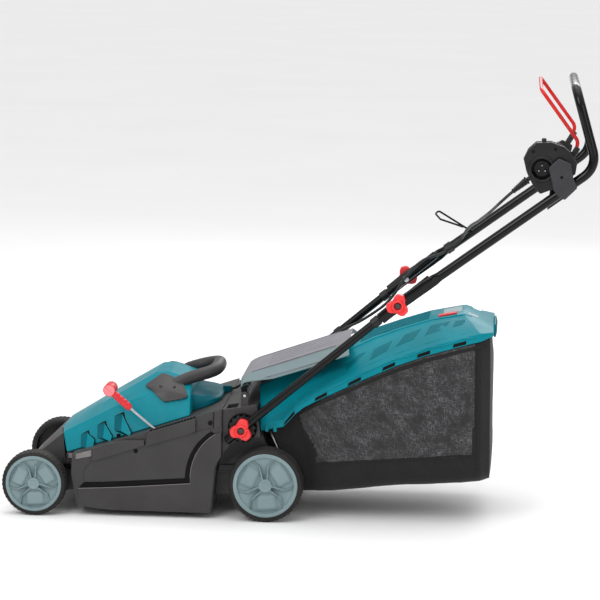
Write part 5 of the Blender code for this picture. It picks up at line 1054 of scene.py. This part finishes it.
def makeLid():
    lid = traced("catcherLid", "catcher_lid", hoodAbs)
    for vert in lid.data.vertices:      # the rear grip sits closer in than a plain tube would
        beyond = vert.co.x - home.x - 0.9785
        if beyond > 0:
            vert.co.x -= beyond * 0.80
    soften(lid, lidLook["edge"], 2, 28)
    fit(lid, "catcher", "hood_plastic", "catcher_lid")
    surface = BVHTree.FromPolygons([v.co.copy() for v in lid.data.vertices],
                                   [tuple(f.vertices) for f in lid.data.polygons])
    shapes = (((0.668, 0.30), (0.706, 0.62), (0.694, 0.66), (0.662, 0.52)),
              ((0.716, 0.30), (0.752, 0.36), (0.762, 0.66), (0.722, 0.58)),
              ((0.770, 0.40), (0.808, 0.44), (0.824, 0.76), (0.788, 0.70)),
              ((0.830, 0.44), (0.872, 0.50), (0.884, 0.78), (0.842, 0.76)),
              ((0.890, 0.52), (0.912, 0.56), (0.918, 0.74), (0.896, 0.76)))
    bm = bmesh.new()
    for _, s in sides:              # shallow slanted fields in each flank
        for shape in shapes:
            rings = []
            for k in range(9):
                column = []
                for n in range(5):
                    xa, sa = [mix(a, b, n / 4) for a, b in zip(shape[0], shape[3])]
                    xb, sb = [mix(a, b, n / 4) for a, b in zip(shape[1], shape[2])]
                    x, y, z = lidFlank(mix(xa, xb, k / 8), mix(sa, sb, k / 8))
                    spot, normal, _, _ = surface.find_nearest(Vector((x, s * y, z)) + home)
                    column.append((spot - home, normal))
                rings.append([p - n * 0.0012 for p, n in column] + [p + n * 0.0005 for p, n in column[::-1]])
            skin(bm, rings)
    fields = soften(addPiece("lidFlankFields", bm, hoodAbsMid), 0.0004, 1)
    fit(fields, "catcher", "hood_plastic")
    bm = bmesh.new()                # moulding lines: flank to top, and flank to rim band
    for _, s in sides:
        for share, x0, x1, wide in ((0.97, 0.640, 0.930, 0.0011), (0.16, 0.560, 0.935, 0.0007)):
            line = []
            for k in range(40):
                x, y, z = lidFlank(mix(x0, x1, k / 39), share)
                line.append(Vector((x, s * y, z)) + Vector((0, s * 0.0002, 0.0001)))
            sweep(bm, line, wide, 8)
        for x0, shift in ((0.495, 0.0), (0.513, 0.004)):        # two small catches under the front corner
            y = lidAt(x0, 2)
            skin(bm, [[(x0, s * (y - 0.002), 0.1890 + shift * 0.2),
                       (x0 + 0.007, s * (y - 0.002), 0.1895 + shift * 0.2),
                       (x0 + 0.0055, s * (y - 0.002), 0.2040), (x0 + 0.0010, s * (y - 0.002), 0.2035)],
                      [(x0, s * (y + 0.0026), 0.1890 + shift * 0.2),
                       (x0 + 0.007, s * (y + 0.0026), 0.1895 + shift * 0.2),
                       (x0 + 0.0055, s * (y + 0.0026), 0.2040), (x0 + 0.0010, s * (y + 0.0026), 0.2035)]])
    place("lidMouldingLines", bm, hoodAbs, "catcher", "hood_plastic", sharp=40)

    # snap slots drawn as near-black boxes: painted shade inside the slots
    slots = ((0.535, 0.558), (0.601, 0.627), (0.671, 0.699), (0.744, 0.771), (0.8175, 0.845), (0.893, 0.921))
    dark, steps = bmesh.new(), bmesh.new()
    for _, s in sides:
        for k, (x0, x1) in enumerate(slots):
            half = [lidAt(x, 2) for x in (x0, x1)]
            z = [lidAt(x, 1) for x in (x0, x1)]
            low, high = (0.0030, 0.0106)
            skin(dark, [[(x0, s * (half[0] + out), z[0] + low), (x1, s * (half[1] + out), z[1] + low),
                         (x1, s * (half[1] + out), z[1] + high),
                         (x0 + 0.002, s * (half[0] + out), z[0] + high)] for out in (-0.003, 0.0009)])
        stops = [0.530, 0.545, 0.560, 0.578, 0.596, 0.615, 0.640, 0.670, 0.705, 0.740, 0.773, 0.805, 0.838,
                 0.875, 0.914, 0.940]
        rings = []
        for x in stops:             # the raised band along the rim, stepping up over each slot
            half, rim = lidAt(x, 2), lidAt(x, 1)
            hump = 0.0045 * max(ease(x0 - 0.014, x0 - 0.006, x) * ease(x1 + 0.014, x1 + 0.006, x)
                                for x0, x1 in slots)
            rings.append([(x, s * (half - 0.001), rim + 0.0112 + hump),
                          (x, s * (half + 0.0022), rim + 0.0114 + hump),
                          (x, s * (half + 0.0022), rim + 0.0136 + hump),
                          (x, s * (half - 0.001), rim + 0.0148 + hump)])
        skin(steps, rings)
    place("lidSnapSlots", dark, nearBlackPpAndPaintedShade, "catcher", "hood_plastic")
    fit(soften(addPiece("lidRimStep", steps, hoodAbs, 30), 0.0007, 2), "catcher", "hood_plastic")

    paths = []                      # ribbed top between the shoulders
    for k in range(9):
        y = -0.050 + 0.0125 * k
        paths.append([(x, y, lidAt(x, 3) + 0.0004) for x in (0.690, 0.720, 0.773, 0.805, 0.838)])
    bm = bmesh.new()
    for path in paths:
        fine = flowing(path, 0.01)
        sweep(bm, fine, [(0.0022, 0.0012)] * len(fine), 10)
    place("lidTopRibs", bm, hoodAbsMid, "catcher", "hood_plastic", sharp=50)

    bm = bmesh.new()                # plain label fields, nothing on them
    for x0, x1, y0, y1, lift in ((0.868, 0.908, -0.022, 0.046, 0.0007),
                                 (0.9225, 0.9440, -0.052, -0.028, 0.0008)):
        skin(bm, [[(x0, y0, lidAt(x0, 3) + z), (x1, y0, lidAt(x1, 3) + z), (x1, y1, lidAt(x1, 3) + z),
                   (x0, y1, lidAt(x0, 3) + z)] for z in (-0.001, lift)])
    place("lidLabelFields", bm, labelFilm, "catcher", "hood_plastic")
    flagBm = bmesh.new()
    slope = atan2(0.4394 - 0.4317, 0.897 - 0.858)
    for k in range(5):
        x, z = away((0.8625, 0.43265), slope, 0.0072 * k)
        sweep(flagBm, [(x, -0.0498, z + 0.0014), (x, -0.0322, z + 0.0014)], [(0.0011, 0.0007)] * 2, 8)
    place("flagGripRibs", flagBm, knobPa, "level_flag", "red_plastic")

    bm = bmesh.new()                # three finger slots in the rear grip, near-black: painted shade inside them
    for y in (-0.036, 0.0, 0.036):
        rings = []
        for across in (-0.011, 0.011):
            rings.append([(0.9790 + (0.0052 + lift) * cos(a), y + across, 0.405 + (0.0160 + lift) * sin(a))
                          for lift, turns in ((0.0007, 1), (-0.003, -1))
                          for a in [radians(d) for d in range(-60, 61, 12)][::turns]])
        skin(bm, rings)
    place("lidGripSlots", bm, nearBlackPpAndPaintedShade, "catcher", "hood_plastic")


makeLid()
print("lid done")

# grass bag
bagStations = [(0.505, 0.566, 0.052, 0.136), (0.534, 0.583, 0.0535, 0.136), (0.560, 0.600, 0.055, 0.140),
               (0.578, 0.612, 0.057, 0.150), (0.615, 0.640, 0.061, 0.162), (0.670, 0.682, 0.066, 0.1635),
               (0.720, 0.724, 0.071, 0.1635), (0.773, 0.773, 0.077, 0.1635), (0.838, 0.838, 0.082, 0.1635),
               (0.914, 0.914, 0.087, 0.1635), (0.951, 0.956, 0.091, 0.1585), (0.972, 0.976, 0.0945, 0.142)]
bagLook = {"along": 110, "down": 46, "floor": 24, "bulge": 0.0048, "wrinkle": 0.0026, "wall": 0.0012,
           "corner": 0.025, "seed": 3.7}


def bagStation(t):
    place = t * (len(bagStations) - 1)
    k = min(int(place), len(bagStations) - 2)
    return [mix(a, b, place - k) for a, b in zip(bagStations[k], bagStations[k + 1])]


def bagPoint(t, s, share):
    topX, footX, low, half = bagStation(t)
    high = lidAt(topX, 1) - 0.0006
    corner = bagLook["corner"]
    drop = high - low - corner
    total = drop + corner * pi / 2
    gone = share * total
    if gone < drop:
        y, z, outward = half, high - gone, Vector((0, s, 0))
    else:
        a = (gone - drop) / corner
        y, z = half - corner + corner * cos(a), low + corner - corner * sin(a)
        outward = Vector((0, s * cos(a), -sin(a)))
    x = footX + (topX - footX) * (z - low) / (high - low)
    point = Vector((x, s * y, z))
    loose = ease(0.0, 0.16, share) * ease(1.12, 0.80, share) * ease(0.30, 0.52, t) * ease(1.02, 0.90, t)
    swell = bagLook["bulge"] * sin(pi * min(1.0, share * 1.05)) ** 0.8 * loose
    seed = Vector((0, s * 5.0, bagLook["seed"]))
    broad = noise.noise(Vector((x * 16, 0, z * 9)) + seed)
    folds = broad + 0.5 * noise.noise(Vector((x * 38, 0, z * 16)) + seed)
    diagonal = sin((x * 0.9 + z * 0.55) * 95 + 3 * noise.noise(Vector((x * 8, s, z * 8))))
    pull = ease(0.0, 0.10, share) * ease(1.10, 0.92, share)
    crease = bagLook["wrinkle"] * (folds + 0.22 * diagonal) * loose * pull
    return point + outward * (swell + crease)


def makeBag():
    along, down, floor = bagLook["along"], bagLook["down"], bagLook["floor"]
    bm = bmesh.new()
    uv = bm.loops.layers.uv.new("cloth")
    rows, marks = [], []
    for i in range(along + 1):
        t = i / along
        right = [bagPoint(t, 1, k / down) for k in range(down + 1)]
        left = [bagPoint(t, -1, k / down) for k in range(down + 1)]
        a, b = right[-1], left[-1]
        middle = []
        for k in range(1, floor):
            f = k / floor
            p = a.lerp(b, f)
            sag = 0.0016 * sin(pi * f) + 0.0012 * noise.noise(Vector((p.x * 22, p.y * 22, 1.3)))
            middle.append(p - Vector((0, 0, sag * ease(0.0, 0.2, t))))
        ring = right + middle + left[::-1]
        length = [0.0]
        for p, q in zip(ring, ring[1:]):
            length.append(length[-1] + (q - p).length)
        rows.append([bm.verts.new(p) for p in ring])
        marks.append([(p.x, l) for p, l in zip(ring, length)])

    def cover(corners, coords, part):
        face = bm.faces.new(corners)
        face.material_index = part
        for loop, where in zip(face.loops, coords):
            loop[uv].uv = where

    def partAt(point):
        front = mix(0.606, 0.566, ease(0.14, 0.23, point.z))
        if abs(point.y) < 0.10 or point.z < bandTop(point.x) or point.x > 0.940 or point.x < front:
            return 1
        return 0

    for i in range(along):
        for k in range(len(rows[i]) - 1):
            quad = (rows[i][k], rows[i][k + 1], rows[i + 1][k + 1], rows[i + 1][k])
            middle = sum((v.co for v in quad), Vector()) / 4
            cover(quad, (marks[i][k], marks[i][k + 1], marks[i + 1][k + 1], marks[i + 1][k]), partAt(middle))
    # the rear wall runs straight across between the two rear edges and bellies out a little
    last = rows[-1]
    count, cross = len(last), 30
    wall = []
    for k in range(down + 1):
        a, b = last[k], last[count - 1 - k]
        line = [a]
        for n in range(1, cross):
            f = n / cross
            p = a.co.lerp(b.co, f)
            puff = 0.0050 * sin(pi * f) ** 0.6 * ease(0.0, 0.2, k / down) * ease(1.05, 0.75, k / down)
            ripple = 0.0016 * noise.noise(Vector((p.y * 18, p.z * 12, 8.1))) * ease(0.0, 0.2, k / down)
            line.append(bm.verts.new(p + Vector((puff + ripple, 0, 0))))
        wall.append(line + [b])
    for k in range(down):
        for n in range(cross):
            quad = (wall[k][n], wall[k + 1][n], wall[k + 1][n + 1], wall[k][n + 1])
            cover(quad, [(v.co.y + 1.6, v.co.z) for v in quad], 1)
    lastRow = wall[-1]
    underside = [last[k] for k in range(down, down + floor + 1)]
    for n in range(cross):
        share = n / cross
        a = underside[min(floor, int(share * floor))]
        b = underside[min(floor, int((n + 1) / cross * floor))]
        corners = [lastRow[n], a] + ([b] if b is not a else []) + [lastRow[n + 1]]
        seen = []
        for v in corners:
            if v not in seen:
                seen.append(v)
        if len(seen) > 2:
            cover(seen, [(v.co.y + 1.6, v.co.z) for v in seen], 1)
    bag = addPiece("grassBag", bm, [bagMesh, bagCoated], 60)
    cloth = bag.modifiers.new("cloth thickness", "SOLIDIFY")
    cloth.thickness, cloth.offset = bagLook["wall"], -1
    settle(bag)
    fit(bag, "catcher", "bag_fabric", "catcher_bag")

    tapes = bmesh.new()             # bound edges: under the lid, down the rear corner, along the two seams
    stitches = []

    def tape(points, outwards, width):
        rings, last = [], len(points) - 1
        ways = [points[min(last, k + 1)] - points[max(0, k - 1)] for k in range(len(points))]
        for p, way, out in zip(points, ways, outwards):
            across = way.cross(out).normalized() * width / 2
            rings.append([p - across - out * 0.0004, p - across * 0.9 + out * 0.0011,
                          p + across * 0.9 + out * 0.0011, p + across - out * 0.0004])
        skin(tapes, rings)
        for edge in (-0.34, 0.34):
            stitches.append([p + way.cross(out).normalized() * width * edge + out * 0.0013
                             for p, way, out in zip(points, ways, outwards)])

    for s in (-1, 1):
        out = Vector((0, s, 0))
        under = [bagPoint(i / 80, s, 0.030) for i in range(6, 78)]
        tape(under, [out] * len(under), 0.008)
        tape([bagPoint(0.900, s, 0.05 + 0.80 * k / 23) for k in range(24)], [out] * 24, 0.007)
        seam = []
        for i in range(34, 100):
            t = i / 108
            best = min(range(20, 101),
                       key=lambda k: abs(bagPoint(t, s, k / 100).z - bandTop(bagPoint(t, s, k / 100).x)))
            seam.append(bagPoint(t, s, best / 100))
        smooth = [sum(seam[max(0, k - 2):k + 3], Vector()) / len(seam[max(0, k - 2):k + 3])
                  for k in range(len(seam))]
        tape(smooth, [out] * len(smooth), 0.005)
    place("bagTapes", tapes, tapeWeb, "catcher", "bag_fabric", sharp=50)
    sewn = repeated("bagStitches", stitches, {"spacing": 0.0042, "length": 0.0030, "width": 0.0008,
                                              "height": 0.0008, "centre": (0.75, 0.0, 0.20)}, tapeWeb)
    fit(sewn, "catcher", "bag_fabric")


def bandTop(x):
    return 0.124 + (x - 0.606) * 0.0836


makeBag()
print("bag done")


# switch box, bail and cable
boxOutline = [(1.033, 0.792), (1.040, 0.764), (1.048, 0.747), (1.058, 0.729), (1.069, 0.720), (1.095, 0.7305),
              (1.140, 0.7625), (1.143, 0.785), (1.131, 0.806), (1.117, 0.8187), (1.088, 0.828),
              (1.058, 0.8265), (1.042, 0.8115)]
plugCentre, bailPivot, bailY = (1.071, 0.772), (1.118, 0.772), 0.178


controlLook = {"bailWire": 0.004, "bailBend": 0.022, "pinRing": 0.0075, "seam": 0.0007}


def makeControls():
    box = soften(traced("switchBox", "switch_box", blackNylonAndPaintedShade, sharp=60), 0.0018, 2, 45)
    fit(box, "upper_handle", "black_plastic", "switch_box")
    cover = soften(traced("switchCover", "switch_cover", coverPp), 0.0030, 4, 30)
    fit(cover, "upper_handle", "cover_plastic", "switch_cover")
    bm = bmesh.new()                # raised collar round the plug's recess, the housing's seam and two screws
    lathe(bm, [(0.0220, -0.003), (0.0285, -0.003), (0.0282, 0.0012), (0.0268, 0.0028), (0.0246, 0.0030),
               (0.0226, 0.0020), (0.0220, 0.0005)], (plugCentre[0], -0.208, plugCentre[1]), (0, -1, 0), 64)
    place("plugCollar", bm, blackNylonAndPaintedShade, "upper_handle", "black_plastic", sharp=35)
    bm = bmesh.new()
    middle = Vector((1.0885, 0, 0.7740))
    sweep(bm, [Vector((x, -0.1885, z)) + (Vector((x, 0, z)) - middle).normalized() * 0.0003
               for x, z in boxOutline], controlLook["seam"], 8, closed=True)
    for x, z in ((1.052, 0.808), (1.098, 0.814), (1.112, 0.757)):
        lathe(bm, [(0, 0.0), (0.0034, 0.0), (0.0030, 0.0008), (0.0012, 0.0008), (0.0, 0.0002)],
              (x, -0.2078 if x < 1.11 else -0.2208, z), (0, -1, 0), 20)
    place("switchBoxSeam", bm, nearBlackPpAndPaintedShade, "upper_handle", "black_plastic", sharp=35)
    inlet = soften(traced("plugInlet", "plug_inlet", blackNylonAndPaintedShade), 0.0003, 1, 40)
    fit(inlet, "upper_handle", "black_plastic", "plug_inlet")
    bm, ring = bmesh.new(), controlLook["pinRing"]
    for a in (radians(-30), radians(90), radians(210)):
        lathe(bm, [(0, 0), (0.00215, 0), (0.00215, 0.0130), (0.0014, 0.0142), (0, 0.0142)],
              (plugCentre[0] + ring * cos(a), -0.194, plugCentre[1] + ring * sin(a)), (0, -1, 0), 20)
    place("plugPins", bm, zincSteel, "upper_handle", "steel", sharp=40)
    button = traced("lockButton", "lock_button", coverPp)
    soften(button, 0.0006, 2, 35)
    fit(button, "lock_button", "black_plastic", "lock_button")
    bracket = soften(traced("bailBracket", "bail_bracket", blackNylonAndPaintedShade), 0.0015, 2, 34)
    fit(bracket, "upper_handle", "black_plastic", "bail_bracket")

    top, knee, foot = (1.066, 0.938), (1.1440, 0.828), (1.1385, 0.8055)
    corners = []
    for s in (-1, 1):
        legPath = [(foot[0], s * bailY, foot[1]), (knee[0] + 0.0015, s * bailY, knee[1] - 0.0005),
                   (top[0], s * bailY, top[1] - 0.004)]
        corners += legPath if s < 0 else legPath[::-1]
    bm = bmesh.new()
    sweep(bm, bent(corners, controlLook["bailBend"], 12), controlLook["bailWire"], 20)
    place("bailRod", bm, bailPaint, "bail", "red_paint", "bail_lever")
    bm = bmesh.new()
    for s in (-1, 1):
        y = s * bailY
        a = Vector((bailPivot[0] + 0.0034, y, bailPivot[1] + 0.0056))
        b = Vector((foot[0] + 0.003, y, foot[1] + 0.005))
        sweep(bm, [a, a.lerp(b, 0.5), b, a.lerp(b, 1.14), a.lerp(b, 1.16)],
              [(0.0062, 0.0062), (0.0062, 0.0064), (0.0062, 0.0064), (0.0060, 0.0060), (0.0048, 0.0048)], 20)
        lathe(bm, [(0.0042, -0.006), (0.0080, -0.006), (0.0085, -0.0054), (0.0085, 0.0054), (0.0080, 0.006),
                   (0.0042, 0.006)], (bailPivot[0], y, bailPivot[1]), (0, 1, 0), 36)
    place("bailFeet", bm, blackNylonAndPaintedShade, "bail", "black_plastic", sharp=40)


makeControls()
print("switch and bail done")


cableLook = {"lane": 0.165, "midClip": 0.118, "lowClip": 0.236, "ribs": 9, "ribPitch": 0.0036,
             "ribWide": 0.0080, "ribNarrow": 0.0055}


def makeCables():
    lane = cableLook["lane"]
    for name, node, bodies in (("cableUpper", "cable_upper", ("upper_handle",)),
                               ("cableMiddle", "cable_middle", ("lower_handle", "upper_handle")),
                               ("cableLower", "cable_lower", ("chassis", "lower_handle"))):
        bm = bmesh.new()
        bm.from_mesh(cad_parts[node].data)
        bmesh.ops.remove_doubles(bm, verts=bm.verts, dist=1e-5)
        for face in bm.faces:
            face.material_index = 0
        bmesh.ops.translate(bm, verts=bm.verts, vec=-home)
        cable = addPiece(name, bm, cablePvc, 60)
        rounder = cable.modifiers.new("rounder", "SUBSURF")
        rounder.levels = rounder.render_levels = 1
        settle(cable)
        cable.data.shade_smooth()
        if len(bodies) == 1:
            fit(cable, bodies[0], "cable_rubber", node)
            continue
        if name == "cableMiddle":
            clip = away(midPivot, upperAngle, cableLook["midClip"])
            start, end = Vector((0.690, lane, 0.390)), Vector((clip[0] - 0.012, lane, clip[1] - 0.010))
        else:
            clip = away(lowPivot, lowerAngle, cableLook["lowClip"])
            start, end = Vector((0.430, lane, 0.256)), Vector((clip[0] - 0.015, lane, clip[1] - 0.012))
        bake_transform(cable)
        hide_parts(node)
    for name, node, body in (("cableClipUpper", "cable_clip_upper", "upper_handle"),
                             ("cableClipLower", "cable_clip_lower", "lower_handle")):
        clip = soften(traced(name, node, blackNylonAndPaintedShade), 0.0004, 1, 40)
        fit(clip, body, "black_plastic", node)
    bm = bmesh.new()                # ribbed, tapered sleeve where the cable leaves the box
    start, end = Vector((1.0555, -0.186, 0.7587)), Vector((1.0105, -0.186, 0.7205))
    profile = [(0.0039, 0.0), (0.0047, 0.0), (0.0047, 0.018), (0.0088, 0.0188), (0.0088, 0.0215)]
    ribs = cableLook["ribs"]
    for k in range(ribs):
        d = 0.0235 + cableLook["ribPitch"] * k
        r = mix(cableLook["ribWide"], cableLook["ribNarrow"], k / (ribs - 1))
        profile += [(r - 0.0012, d), (r - 0.0012, d + 0.0010), (r, d + 0.0014), (r, d + 0.0030)]
    profile += [(0.0050, 0.0575), (0.0039, 0.0580)]
    lathe(bm, profile, start, end - start, 32)
    place("strainRelief", bm, blackNylonAndPaintedShade, "upper_handle", "black_plastic", "strain_relief", sharp=40)


makeCables()
print("cables done")

# parts whose own shape is right get their finish
finishOf = {"front_axle": tubePaint, "rear_axle": tubePaint, "link_rod": tubePaint,
            "motor_can": castAluminium, "motor_end_bell": castAluminium, "motor_shaft": zincSteel,
            "armature": darkSteel, "cooling_fan": blackNylonAndPaintedShade, "blade_hub": blackNylonAndPaintedShade, "blade": bladeSteel,
            "blade_bolt": zincSteel, "flap_pin": zincSteel, "flap_spring_left": zincSteel,
            "flap_spring_right": zincSteel, "catcher_frame": zincSteel, "low_bolt_left": zincSteel,
            "low_bolt_right": zincSteel, "mid_bolt_left": zincSteel, "mid_bolt_right": zincSteel,
            "cord_hook": tubePaint, "level_flag": knobPa}
for node, finish in finishOf.items():
    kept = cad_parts[node]
    kept.data.materials.clear()
    kept.data.materials.append(finish)
print("finishes placed on", len(finishOf), "kept parts")


# floor, light, camera
lamps = (("key", (-1.8, -3.2, 3.2), 2.2, 62), ("fill", (2.8, -2.8, 1.6), 1.8, 18),
         ("top", (0.2, 0.4, 3.8), 3.4, 40), ("edge", (0.8, 3.4, 2.2), 1.8, 24))
studioLook = {"floor": 0.0004, "lowGlow": 0.34, "highGlow": 1.16, "aim": (0.0, 0.0, 0.40)}
viewLook = {"azimuth": 0.07997893202061615, "elevation": 0.15650216091226316, "roll": 0.01202613018769411,
            "target": (0.5540560158, 0.0, 0.4520332042), "distance": 5.91464545, "lens": 162.5669058,
            "sensor": 36.0, "reach": 200}


def makeStudio():
    floorBm = bmesh.new()
    level = -studioLook["floor"]
    skin(floorBm, [[(-30, -30, level), (30, -30, level)], [(-30, 60, level), (30, 60, level)]],
         caps=False, wrap=False)
    floorFinish = grained("paleFloorPaint", {"colour": "#fbfbfb", "shade": "#f8f8f8", "patch": 900,
                                             "rough": 0.8, "grain": 3.0, "depth": 0.02, "bump": 0.05})
    floor = addPiece("floor", floorBm, floorFinish, turnOut=False)
    world = bpy.data.worlds.new("studio air")
    bpy.context.scene.world = world
    world.use_nodes = True
    air = world.node_tree
    ray = addNode(air, "ShaderNodeTexCoord").outputs["Generated"]
    height = addNode(air, "ShaderNodeSeparateXYZ", None, {"Vector": ray}).outputs["Z"]
    glow = addNode(air, "ShaderNodeMapRange", {"To Min": studioLook["lowGlow"],
                                                 "To Max": studioLook["highGlow"]},
                   {"Value": height})       # a wide soft box overhead, dimmer towards the horizon
    air.nodes["Background"].inputs["Color"].default_value = srgb("#ffffff")
    air.links.new(glow.outputs["Result"], air.nodes["Background"].inputs["Strength"])
    for name, spot, size, power in lamps:
        data = bpy.data.lights.new(name, "AREA")
        data.shape, data.size, data.energy = "SQUARE", size, power
        lamp = bpy.data.objects.new(name, data)
        lamp.location = spot
        aim = Vector(studioLook["aim"]) - Vector(spot)
        lamp.rotation_euler = aim.to_track_quat("-Z", "Y").to_euler()
        bpy.context.collection.objects.link(lamp)


def makeCamera():
    azimuth, elevation, roll = viewLook["azimuth"], viewLook["elevation"], viewLook["roll"]
    target = Vector(viewLook["target"]) + home
    back = Vector((sin(azimuth) * cos(elevation), -cos(azimuth) * cos(elevation), sin(elevation)))
    right = Vector((cos(azimuth), sin(azimuth), 0))
    up = Vector((-sin(azimuth) * sin(elevation), cos(azimuth) * sin(elevation), cos(elevation)))
    right, up = right * cos(roll) + up * sin(roll), up * cos(roll) - right * sin(roll)
    data = bpy.data.cameras.new("camera")
    data.sensor_width, data.lens = viewLook["sensor"], viewLook["lens"]
    data.clip_end = viewLook["reach"]
    camera = bpy.data.objects.new("camera", data)
    bpy.context.collection.objects.link(camera)
    turn = Matrix((right, up, back)).transposed().to_4x4()
    camera.matrix_world = Matrix.Translation(target + back * viewLook["distance"]) @ turn
    bpy.context.scene.camera = camera


makeStudio()
makeCamera()
bpy.context.scene.view_settings.view_transform = "Standard"
print("studio done")
